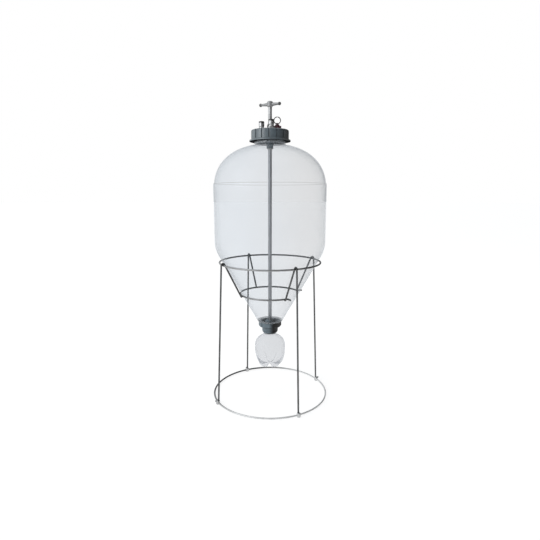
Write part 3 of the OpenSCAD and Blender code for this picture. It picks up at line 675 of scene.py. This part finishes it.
def vessel_side(inset, foot_r, foot_ease, neck_r, groove):
    """One face of the wall from the bottom neck up to the top neck, as (r, z) points in mm. groove is the
    depth of the join line under the dome."""
    points = [(foot_r, FOOT_Z), (foot_r, FOOT_Z + 6), (foot_r, SHOULDER_Z + inset - 1.2)]
    points.append((foot_r + foot_ease, SHOULDER_Z + inset))
    shoulder_z = SHOULDER_Z + SHOULDER_BLEND
    shoulder_r = cone_radius(shoulder_z) - SHOULDER_BLEND / math.cos(math.radians(CONE_ANGLE))
    points += arc_points((shoulder_r, shoulder_z), SHOULDER_BLEND - inset, -90, -CONE_ANGLE, 8)
    start = points[-1]
    bend = arc_points((VESSEL_R - BLEND_R, BLEND_Z), BLEND_R - inset, -CONE_ANGLE, 0, 24)
    points += [start.lerp(bend[0], i / 14) for i in range(1, 14)]
    points += bend
    points += [(VESSEL_R - inset, BLEND_Z + (SEAM_Z - 3 - BLEND_Z) * i / 8) for i in range(1, 9)]
    if groove:
        points += [(VESSEL_R - groove, SEAM_Z - 1.6), (VESSEL_R - groove + 0.15, SEAM_Z - 0.9),
                   (VESSEL_R - groove - 0.1, SEAM_Z - 0.2)]
    first = dome_radius(SEAM_Z, inset)
    for i in range(41):
        r = neck_r + (first - neck_r) * math.cos(math.radians(90 * i / 40))
        points.append((r, dome_height(r, inset)))
    return points


neck_ring = rounded([
    (NECK_OUT_R, NECK_RING_LOW, 0.4), (NECK_RING_R, NECK_RING_LOW, 0.8),
    (NECK_RING_R, NECK_RING_HIGH, 0.8), (NECK_OUT_R, NECK_RING_HIGH, 0.4)], closed=False)
outside = vessel_side(0, FOOT_OUT_R, 0.9, NECK_OUT_R, 0.25)
outside += [(r, z) for r, z, _ in neck_ring]
outside += [(NECK_OUT_R, NECK_RING_HIGH + 2), (NECK_OUT_R, RIM_Z - 0.6), (NECK_OUT_R - 0.6, RIM_Z)]
inside = vessel_side(WALL, FOOT_IN_R, 0.4, NECK_IN_R, 0)
inside.append((NECK_IN_R + 0.6, RIM_Z))
wall = [(r, z, 0) for r, z in outside + inside[::-1]]
place(turn_piece("vessel_shell", PET, wall, even(144), sharp=50), "vessel", "clear_pet", "vessel")


# ---------------------------------------------------------------- lid collar

LID_R, FLANGE_R = 57.6, width_r("lid_collar") / MM
LID_LOW, LID_TOP = heights("lid_collar")
COLLAR_SEAT = 846.0
GROOVES, GROOVE_DEPTH, GROOVE_FIRST = 16, 2.8, math.radians(267.6)
PAD_CROWN = 0.15
# Where the collar has points in each pad's share of the circle, in degrees from the groove's middle
GROOVE_STEPS = (-2.8, -2.35, -2.05, -1.82, -1.58, -1.3, 0.0, 1.3, 1.58, 1.82, 2.05, 2.35, 2.8,
                4.5, 7.5, 11.25, 15.0, 18.0)


def lid_shape(a, r, z, tag):
    """Grooves with soft shoulders between slightly crowned pads."""
    d = abs(math.degrees(off_centre(a, GROOVES, GROOVE_FIRST)))
    groove = GROOVE_DEPTH * ease((2.15 - d) / 0.7)
    crown = PAD_CROWN * (1 - d * GROOVES / 180) ** 2
    return r - tag * (groove + crown), z


lid_angles = [GROOVE_FIRST + math.radians(360 / GROOVES * i + d)
              for i in range(GROOVES) for d in GROOVE_STEPS]
profile = rounded([
    (47.6, LID_LOW, 0.3, 0), (FLANGE_R, LID_LOW, 0.8, 0), (FLANGE_R, 820.8, 0.9, 0), (60.6, 821.9, 1.2, 0),
    (LID_R + 0.2, 822.7, 0.8, 0), (LID_R, 823.6, 0.1, 0), (LID_R, 824.7, 0.2, 1), (LID_R, 832.0, 0, 1),
    (LID_R, 840.0, 0, 1), (LID_R, LID_TOP - 2.2, 1.0, 1), (LID_R - 2, LID_TOP, 1.0, 0.9),
    (52.4, LID_TOP, 0.3, 0), (51.8, LID_TOP - 0.5, 0.3, 0), (42.4, LID_TOP - 0.5, 0.3, 0),
    (41.8, LID_TOP, 0.3, 0), (41.0, LID_TOP, 0.4, 0), (41.0, COLLAR_SEAT, 0.2, 0),
    (47.6, COLLAR_SEAT, 0.2, 0)])
collar = turn_piece("lid_collar_shell", LID, profile, lid_angles, lid_shape, sharp=42)
place(collar, "lid_collar", "lid_plastic", "lid_collar")


# ---------------------------------------------------------------- lid plate with its rod boss

PLATE_Z = 842.0
PLATE_SEAT = 845.7
PLATE_TOP = heights("lid_plate")[1]
BOSS_OUT_R, BOSS_LOW = 10.2, 796.0
BORE_R, BUSH_POCKET_R, BUSH_POCKET_TOP = 6.15, 8.25, 804.0
profile = rounded([
    (BORE_R, PLATE_TOP, 0.2), (11.0, PLATE_TOP, 0.2), (36.2, PLATE_TOP, 0.3), (36.8, PLATE_TOP - 0.5, 0.2),
    (38.2, PLATE_TOP - 0.5, 0.2), (38.8, PLATE_TOP, 0.3), (40.7, PLATE_TOP, 0.5), (40.7, PLATE_SEAT, 0.3),
    (47.2, PLATE_SEAT, 0.5), (47.2, PLATE_Z, 0.4), (43.7, PLATE_Z, 0.2), (43.7, PLATE_Z - 4, 0.4),
    (41.3, PLATE_Z - 4, 0.4), (41.3, PLATE_Z, 0.2), (13.0, PLATE_Z, 0.4), (10.6, PLATE_Z - 5, 2.0),
    (BOSS_OUT_R, 826.0, 2.0), (BOSS_OUT_R, BOSS_LOW, 0.6), (BUSH_POCKET_R, BOSS_LOW, 0.2),
    (BUSH_POCKET_R, BUSH_POCKET_TOP, 0.1), (BORE_R, BUSH_POCKET_TOP, 0.1)])
place(turn_piece("lid_plate_shell", LID, profile, even(128)), "lid", "lid_plastic", "lid_plate")

# Four stiffening ribs run down the rod boss from the plate
RIB_HALF = 0.8
RIB_OUTLINE = [(9.9, 841.9), (15.2, 841.9), (14.8, 838.5), (11.0, 824.0), (10.2, 812.0), (9.9, 812.0)]
bm = bmesh.new()
for turn in (45, 135, 225, 315):
    facing = Matrix.Rotation(math.radians(turn), 4, "Z")
    left, right = [[bm.verts.new(facing @ (Vector((x, side * RIB_HALF, z)) * MM)) for x, z in RIB_OUTLINE]
                   for side in (-1, 1)]
    bm.faces.new(left)
    bm.faces.new(right[::-1])
    band(bm, left[::-1], right[::-1])
bmesh.ops.bevel(bm, geom=list(bm.edges), offset=0.3 * MM, segments=2, affect="EDGES", profile=0.6)
place(finish_mesh("lid_boss_ribs", bm, LID), "lid", "lid_plastic")


# ---------------------------------------------------------------- gland nut

GLAND_HEX_R = 10.0
GLAND_BORE_R = 5.95
profile = rounded([
    (GLAND_BORE_R, 849.0, 0.1), (9.6, 849.0, 0.1, 1), (GLAND_HEX_R, 849.5, 0.3, 1),
    (GLAND_HEX_R, 855.2, 0.4, 1), (9.3, 856.0, 0.3, 1), (8.8, 856.3, 0.1), (8.8, 863.6, 0.8),
    (6.9, 868.6, 0.7), (6.5, 869.0, 0.2), (6.2, 869.0, 0.1), (GLAND_BORE_R, 868.6, 0.1)])
gland = turn_piece("gland_nut_shell", GLAND, profile, even(96), hex_shape(GLAND_HEX_R))
place(gland, "lid", "gland_plastic", "gland_nut")


# ---------------------------------------------------------------- ball-lock posts

PORT_LOW, PORT_FLANGE = 833.0, 850.2
PORT_THREAD_R = 6.2
POST_HEX_R, POST_R, POST_TOP = 9.6, 8.4, 878.0
POST_BORE_R, POST_MOUTH_R = 5.6, 3.3
post_profile = rounded([
    (4.0, PORT_LOW, 0.1), (5.8, PORT_LOW, 0.2), (PORT_THREAD_R, PORT_LOW + 0.5, 0.2),
    (PORT_THREAD_R, PORT_FLANGE, 0.1), (9.1, PORT_FLANGE, 0.1, 1), (POST_HEX_R, 850.7, 0.3, 1),
    (POST_HEX_R, 856.3, 0.4, 1), (8.9, 857.0, 0.3, 1), (POST_R, 857.3, 0.1), (POST_R, 859.6, 0.4),
    (7.5, 860.8, 0.4), (7.5, 862.2, 0.4), (POST_R, 863.2, 0.4), (POST_R, 868.6, 0.1), (8.25, 868.9, 0.1),
    (POST_R, 869.2, 0.1), (POST_R, 876.9, 0.9), (7.4, POST_TOP, 0.7), (3.9, POST_TOP, 0.4),
    (POST_MOUTH_R, 877.4, 0.3), (POST_MOUTH_R, 876.3, 0.1), (POST_MOUTH_R, 873.0, 0.1),
    (POST_BORE_R, 873.0, 0.1), (POST_BORE_R, 849.0, 0.1), (4.0, 849.0, 0.1)])
for name in ("gas_post", "liquid_post"):
    post = turn_piece(name + "_shell", POST, post_profile, even(96), hex_shape(POST_HEX_R),
                      matrix=port_matrix(name))
    place(post, "lid", "bright_steel", name)


# ---------------------------------------------------------------- pressure relief valve

relief = centre("relief_body")
RELIEF_AT = Matrix.Translation((relief.x, relief.y, 0))
RELIEF_HEX_R, RELIEF_R, RELIEF_TOP = 10.4, 7.6, 868.0
RELIEF_BORE_R, RELIEF_LIP_R = 5.2, 3.4
WING_AT, WING_Z, WING_SIZE = 9.7, 863.0, (5.8, 5.0, 6.0)
profile = rounded([
    (RELIEF_LIP_R, PORT_LOW, 0.1), (5.8, PORT_LOW, 0.2), (PORT_THREAD_R, PORT_LOW + 0.5, 0.2),
    (PORT_THREAD_R, PORT_FLANGE, 0.1), (9.8, PORT_FLANGE, 0.1, 1), (RELIEF_HEX_R, 850.8, 0.3, 1),
    (RELIEF_HEX_R, 859.2, 0.4, 1), (9.6, 860.0, 0.3, 1), (RELIEF_R, 860.3, 0.1), (RELIEF_R, 867.0, 0.5),
    (6.8, RELIEF_TOP, 0.5), (RELIEF_LIP_R, RELIEF_TOP, 0.2), (RELIEF_LIP_R, 866.4, 0.1),
    (RELIEF_BORE_R, 866.4, 0.1), (RELIEF_BORE_R, 847.2, 0.1), (RELIEF_LIP_R, 847.2, 0.1)])
bm = bmesh.new()
spin(bm, profile, even(96), hex_shape(RELIEF_HEX_R), matrix=RELIEF_AT)
for side in (-1, 1):
    made = bmesh.ops.create_cube(bm, size=1.0)["verts"]
    at = RELIEF_AT @ Matrix.Translation(Vector((side * WING_AT, 0, WING_Z)) * MM)
    bmesh.ops.transform(bm, verts=made, matrix=at @ Matrix.Diagonal([s * MM for s in WING_SIZE] + [1]))
    edges = list({e for v in made for e in v.link_edges})
    bmesh.ops.bevel(bm, geom=edges, offset=1.4 * MM, segments=4, affect="EDGES", profile=0.6)
place(finish_mesh("relief_body_shell", bm, RED), "lid", "relief_red", "relief_body")

STEM_R, STEM_CAP_R, STEM_TOP = 2.9, 6.2, 874.4
profile = rounded([
    (0, 848.3, 0), (4.8, 848.3, 0.2), (4.8, 850.4, 0.2), (2.0, 850.5, 0.1), (2.0, 863.0, 0.1),
    (STEM_R, 863.0, 0.1), (STEM_R, 868.3, 0.1), (5.7, 868.35, 0.3), (STEM_CAP_R, 868.9, 0.4),
    (STEM_CAP_R, 869.6, 0.4), (5.4, 870.1, 0.4), (STEM_R, 870.4, 0.5), (STEM_R, 873.8, 0.7),
    (2.2, STEM_TOP, 0.6), (0, STEM_TOP, 0)], closed=False)
stem = turn_piece("relief_stem_shell", RED, profile, even(64), closed=False, matrix=RELIEF_AT)
place(stem, "relief_stem", "relief_red", "relief_stem")

# The split ring's ends meet at its top with a hair's gap
RING_WIRE = 1.3
RING_GAP = 5
ring_mid = centre("relief_ring") / MM
ring_r = width_r("relief_ring") / MM - RING_WIRE
path = [(ring_mid.x + p.x, ring_mid.y, ring_mid.z + p.y)
        for p in arc_points((0, 0), ring_r, 90 + RING_GAP / 2, 450 - RING_GAP / 2, 90)]
pull_ring = wire_piece("relief_ring_wire", SPRING, path, RING_WIRE, 14)
place(pull_ring, "relief_ring", "bright_steel", "relief_ring")


# ---------------------------------------------------------------- rod and T-handle

ROD_R = width_r("valve_rod") / MM
ROD_TIP_R, ROD_LOW, ROD_STEP_Z, ROD_TOP = 3.4, 240.0, 252.1, 921.0
profile = rounded([
    (0, ROD_LOW, 0), (ROD_TIP_R - 0.4, ROD_LOW, 0.2), (ROD_TIP_R, ROD_LOW + 0.4, 0.2),
    (ROD_TIP_R, ROD_STEP_Z, 0.1), (ROD_R - 0.5, ROD_STEP_Z, 0.1), (ROD_R, ROD_STEP_Z + 0.5, 0.2),
    (ROD_R, 420.0, 0), (ROD_R, 600.0, 0), (ROD_R, 780.0, 0), (ROD_R, ROD_TOP - 0.4, 0.1),
    (ROD_R - 0.4, ROD_TOP, 0.1), (0, ROD_TOP, 0)], closed=False)
rod = turn_piece("valve_rod_bar", ROD, profile, even(64), closed=False)
place(rod, "valve_rod", "rod_steel", "valve_rod")

HUB_R = 8.85
HUB_LOW, HUB_TOP = 917.6, heights("handle_hub")[1]
HUB_FLOOR = ROD_TOP + 0.1
HUB_BORE_R = ROD_R + 0.05
profile = rounded([
    (HUB_BORE_R, HUB_LOW, 0.1), (7.2, HUB_LOW, 0.3), (HUB_R - 0.2, 919.6, 1.0), (HUB_R, 921.0, 0.6),
    (HUB_R, 928.6, 0), (HUB_R, 930.2, 1.0), (8.5, 931.5, 0.7), (7.8, 932.6, 0.7), (6.6, 933.55, 0.8),
    (4.7, 934.4, 1.0), (2.4, 934.85, 1.0), (0, HUB_TOP, 0), (0, HUB_FLOOR, 0), (HUB_BORE_R, HUB_FLOOR, 0.1)])
hub = turn_piece("handle_hub_shell", HANDLE, profile, even(72))
place(hub, "valve_rod", "bright_steel", "handle_hub")

HANDLE_Z = 925.0
HANDLE_TURN = math.radians(-25)
BALL_AT, BALL_R = 31.0, 5.0
arm = [(0.0, 5.0), (8.7, 5.0), (9.6, 5.05), (11.5, 4.75), (16.0, 4.3), (21.0, 3.85), (25.0, 3.5),
       (26.6, 3.35), (27.3, 3.45)]
arm += [(BALL_AT - BALL_R * math.cos(math.radians(a)), BALL_R * math.sin(math.radians(a)))
        for a in range(46, 180, 8)]
arm.append((BALL_AT + BALL_R, 0.0))
profile = [(r, -x, 0) for x, r in arm[:0:-1]] + [(r, x, 0) for x, r in arm]
lay = (Matrix.Translation((0, 0, HANDLE_Z * MM)) @ Matrix.Rotation(HANDLE_TURN, 4, "Z")
       @ Matrix.Rotation(math.pi / 2, 4, "Y"))
bar = turn_piece("handle_bar_turned", HANDLE, profile, even(48), closed=False, matrix=lay)
place(bar, "valve_rod", "bright_steel", "handle_bar")


# ---------------------------------------------------------------- bottom cap, seat and bottle adapter

LOBES, LOBE_FIRST = 6, math.radians(225)
CUT_STEPS, PAD_STEPS = 14, 8
CAP_R = 37.0
CAP_LOW, CAP_TOP, CAP_FLOOR = 233.0, 250.0, 235.4
CAP_NECK_R, CAP_BORE_R, CAP_STEP_R, CAP_FOOT_R, CAP_FOOT_Z = 27.8, 17.05, 19.4, 26.0, 220.4
ADAPTER_LOW, ADAPTER_TOP, ADAPTER_SHELF = 208.4, 229.8, 220.0


def lobed(cut_at, cut_r):
    """Shape for spin(): round grooves of a radius, centred at a distance, cut into the tagged points."""
    def shape(a, r, z, tag):
        d = off_centre(a, LOBES, LOBE_FIRST)
        across = cut_at * math.sin(d)
        if tag and math.cos(d) > 0 and abs(across) < cut_r:
            r = min(r, cut_at * math.cos(d) - math.sqrt(cut_r ** 2 - across ** 2))
        return r, z
    return shape


def lobe_angles(half_width):
    """Angles round a lobed rim, closer together in its grooves."""
    angles = []
    for i in range(LOBES):
        middle = LOBE_FIRST + 2 * math.pi / LOBES * i
        pad = 2 * math.pi / LOBES - 2 * half_width
        angles += [middle - half_width + 2 * half_width * k / CUT_STEPS for k in range(CUT_STEPS)]
        angles += [middle + half_width + pad * k / PAD_STEPS for k in range(PAD_STEPS)]
    return angles


profile = rounded([
    (CAP_NECK_R, CAP_TOP, 0.4), (35.6, CAP_TOP, 0.4, 1), (36.6, CAP_TOP - 0.3, 0.5, 1),
    (CAP_R, CAP_TOP - 1.2, 0.6, 1), (CAP_R, 243.0, 0, 1), (CAP_R, 236.4, 1.2, 1), (34.4, 233.2, 1.0, 1),
    (33.0, CAP_LOW, 0.5, 1), (CAP_FOOT_R, CAP_LOW, 0.5), (CAP_FOOT_R, CAP_FOOT_Z + 0.5, 0.3),
    (CAP_FOOT_R - 0.5, CAP_FOOT_Z, 0.3), (CAP_STEP_R, CAP_FOOT_Z, 0.2), (CAP_STEP_R, 230.0, 0.1),
    (CAP_BORE_R, 230.0, 0.1), (CAP_BORE_R, CAP_FLOOR, 0.1), (CAP_NECK_R, CAP_FLOOR, 0.2)])
cap = turn_piece("bottom_cap_shell", CAP, profile, lobe_angles(0.1205), lobed(38.2, 4.6))
place(cap, "bottom_cap", "cap_plastic", "bottom_cap")

profile = rounded([
    (11.0, ADAPTER_TOP, 0.2), (19.35, ADAPTER_TOP, 0.3), (19.35, ADAPTER_SHELF, 0.1),
    (25.2, ADAPTER_SHELF, 0.4, 1), (25.8, 219.3, 0.5, 1), (25.2, 216.0, 2.0, 1), (23.3, 212.4, 2.0, 1),
    (20.5, 209.6, 1.6, 1), (16.5, ADAPTER_LOW, 1.4, 1), (14.6, ADAPTER_LOW, 0.3), (14.0, 209.0, 0.2),
    (14.0, 226.6, 0.1), (11.0, 226.6, 0.1)])
adapter = turn_piece("bottle_adapter_shell", CAP, profile, lobe_angles(0.149), lobed(27.0, 4.0))
place(adapter, "bottom_cap", "cap_plastic", "bottle_adapter")


# ---------------------------------------------------------------- collection bottle

FEET = 5
BOTTLE_TURN = math.radians(-94)
BOTTLE_WALL = 0.9
BOTTLE_RIM = 225.0
NECK_R, NECK_BORE_R, COLLAR_R = 13.5, 11.2, 16.2
BASE_LINE_Z = 104.6
VALLEY = [(0.0, BASE_LINE_Z), (7.0, 105.0), (14.0, 106.2), (21.0, 108.6), (28.0, 112.6), (35.0, 118.6),
          (41.0, 126.4), (45.4, 135.4), (48.2, 145.0), (49.7, 154.0)]
FOOT = [(0.0, BASE_LINE_Z), (7.0, 103.6), (14.0, 101.0), (20.5, 98.5), (27.0, 98.0), (34.5, 100.6),
        (41.2, 109.5), (45.6, 122.0), (48.8, 136.0), (49.9, 150.0)]
FLANK = [(50.0, 158.0), (50.0, 164.0), (49.95, 168.6), (49.5, 173.5), (48.0, 179.6), (45.2, 185.6),
         (41.2, 191.0), (36.4, 195.3), (31.0, 198.8), (25.6, 201.4), (20.4, 203.4), (16.2, 204.6),
         (13.9, 205.3)]
# Tag of a point that is round; any other tag is its place on the valley's and the foot's lines
ROUND = -1

valley_line = smooth_line(VALLEY, 4)
foot_line = smooth_line(FOOT, 4)


def bottle_shape(inset):
    """Shape for spin(): the base's points swing between the valley's line and the foot's."""
    def shape(a, r, z, tag):
        if tag == ROUND:
            return r, z
        share = ease((abs(off_centre(a, FEET, BOTTLE_TURN)) * FEET / math.pi - 0.07) / 0.55)
        valley, foot = valley_line[tag], foot_line[tag]
        shrink = inset * min(1.0, tag / 12)
        lift = inset * (1 - min(1.0, tag / 36))
        return valley.x + (foot.x - valley.x) * share - shrink, valley.y + (foot.y - valley.y) * share + lift
    return shape


def bottle_side(inset):
    """One face of the wall from the middle of the base up to the neck."""
    points = [(0, BASE_LINE_Z + inset, ROUND)]
    points += [(1.0, 0.0, i) for i in range(1, len(valley_line))]
    points += [(p.x - inset, p.y, ROUND) for p in smooth_line(FLANK, 2)[:-1]]
    return points


neck_collar = rounded([(NECK_R + 0.1, 205.2, 0.1), (COLLAR_R, 205.2, 0.5), (COLLAR_R, 207.0, 0.5),
                       (NECK_R + 0.1, 207.0, 0.3)], closed=False)
outer_neck = [(13.9, 204.9), (13.8, 205.2)] + [(r, z) for r, z, _ in neck_collar]
outer_neck += [(NECK_R, 209.5), (NECK_R, BOTTLE_RIM - 0.4), (NECK_R - 0.4, BOTTLE_RIM)]
inner_neck = [(11.6, 205.2), (NECK_BORE_R, 208.0), (NECK_BORE_R, BOTTLE_RIM - 0.4),
              (NECK_BORE_R + 0.3, BOTTLE_RIM)]
bm = bmesh.new()
for inset, neck in ((0, outer_neck), (BOTTLE_WALL, inner_neck)):
    side = bottle_side(inset) + [(r, z, ROUND) for r, z in neck]
    spin(bm, side, even(160, BOTTLE_TURN), bottle_shape(inset), closed=False)
bmesh.ops.bridge_loops(bm, edges=[e for e in bm.edges if e.is_boundary])
bottle = finish_mesh("collection_bottle_shell", bm, BOTTLE, sharp=60)
place(bottle, "collection_bottle", "bottle_pet", "collection_bottle")


# ---------------------------------------------------------------- camera, floor and light

# The view that fits both printed dimensions of the photograph
VIEW_FROM = (0.0, -1.3204, 0.6565)
VIEW_DOWN = 10.19
VIEW_LENS = 27.75533
FLOOR_R = 40.0

scene = bpy.context.scene
camera_data = bpy.data.cameras.new("camera")
camera_data.sensor_width = 36.0
camera_data.lens = VIEW_LENS
camera = bpy.data.objects.new("camera", camera_data)
camera.location = VIEW_FROM
camera.rotation_euler = (math.radians(90 - VIEW_DOWN), 0.0, 0.0)
scene.collection.objects.link(camera)
scene.camera = camera


def lamp(name, place_at, aim, size, power, colour):
    data = bpy.data.lights.new(name, "AREA")
    data.shape = "RECTANGLE"
    data.size, data.size_y = size
    data.energy = power
    data.color = colour
    obj = bpy.data.objects.new(name, data)
    obj.location = place_at
    obj.rotation_euler = (Vector(aim) - Vector(place_at)).to_track_quat("-Z", "Y").to_euler()
    scene.collection.objects.link(obj)


lamp("key_left", (-2.2, -1.6, 1.9), (0, 0, 0.5), (2.0, 2.6), 28, (0.96, 0.98, 1.0))
lamp("top", (0.2, 0.4, 2.8), (0, 0, 0.4), (2.4, 2.4), 16, (1.0, 1.0, 1.0))


def floor_white():
    """Pale matt floor that brightens to plain white away from the object."""
    n = Nodes("floor")
    shader = n.add("ShaderNodeBsdfPrincipled")
    n.feed(shader.inputs["Base Color"], n.blend(n.noise(3.0, 2.0), grey(0.30), grey(0.32)))
    shader.inputs["Roughness"].default_value = 0.8
    shader.inputs["Specular IOR Level"].default_value = 0.1
    shader.inputs["Emission Color"].default_value = (1, 1, 1, 1)
    away = n.add("ShaderNodeVectorMath", operation="LENGTH")
    n.feed(away.inputs[0], n.add("ShaderNodeNewGeometry").outputs["Position"])
    n.feed(shader.inputs["Emission Strength"], n.remap(away.outputs["Value"], 0.80, 0.842, 0.6, 3.0))
    return n.surface(shader.outputs[0])


bm = bmesh.new()
bmesh.ops.create_circle(bm, cap_ends=True, segments=96, radius=FLOOR_R)
finish_mesh("floor", bm, floor_white())

# What the object mirrors, from the left (0) to the right (1): a bright side and a shaded one
STUDIO_STOPS = (
    (0.0, (0.95, 0.98, 1.0, 1)), (0.55, (0.36, 0.37, 0.38, 1)), (0.78, (0.06, 0.06, 0.06, 1)),
    (1.0, (0.08, 0.08, 0.08, 1)),
)
STUDIO_STRENGTH = 1.15

world = bpy.data.worlds.new("studio")
scene.world = world
world.use_nodes = True
tree = world.node_tree
tree.nodes.clear()
out = tree.nodes.new("ShaderNodeOutputWorld")
plain = tree.nodes.new("ShaderNodeBackground")
plain.inputs["Color"].default_value = (1, 1, 1, 1)
plain.inputs["Strength"].default_value = 1.0
studio = tree.nodes.new("ShaderNodeBackground")
studio.inputs["Strength"].default_value = STUDIO_STRENGTH
coord = tree.nodes.new("ShaderNodeTexCoord")
split = tree.nodes.new("ShaderNodeSeparateXYZ")
shift = tree.nodes.new("ShaderNodeMapRange")
shift.inputs["From Min"].default_value = -1.0
shift.inputs["From Max"].default_value = 1.0
ramp = tree.nodes.new("ShaderNodeValToRGB")
stops = ramp.color_ramp.elements
for position, _ in STUDIO_STOPS[1:-1]:
    stops.new(position)
for stop, (position, colour) in zip(stops, STUDIO_STOPS):
    stop.position = position
    stop.color = colour
paths = tree.nodes.new("ShaderNodeLightPath")
pick = tree.nodes.new("ShaderNodeMixShader")
for source, target in (
        (coord.outputs["Generated"], split.inputs[0]), (split.outputs["X"], shift.inputs["Value"]),
        (shift.outputs[0], ramp.inputs[0]), (ramp.outputs[0], studio.inputs["Color"]),
        (paths.outputs["Is Camera Ray"], pick.inputs[0]), (studio.outputs[0], pick.inputs[1]),
        (plain.outputs[0], pick.inputs[2]), (pick.outputs[0], out.inputs["Surface"])):
    tree.links.new(source, target)
scene.view_settings.view_transform = "Standard"
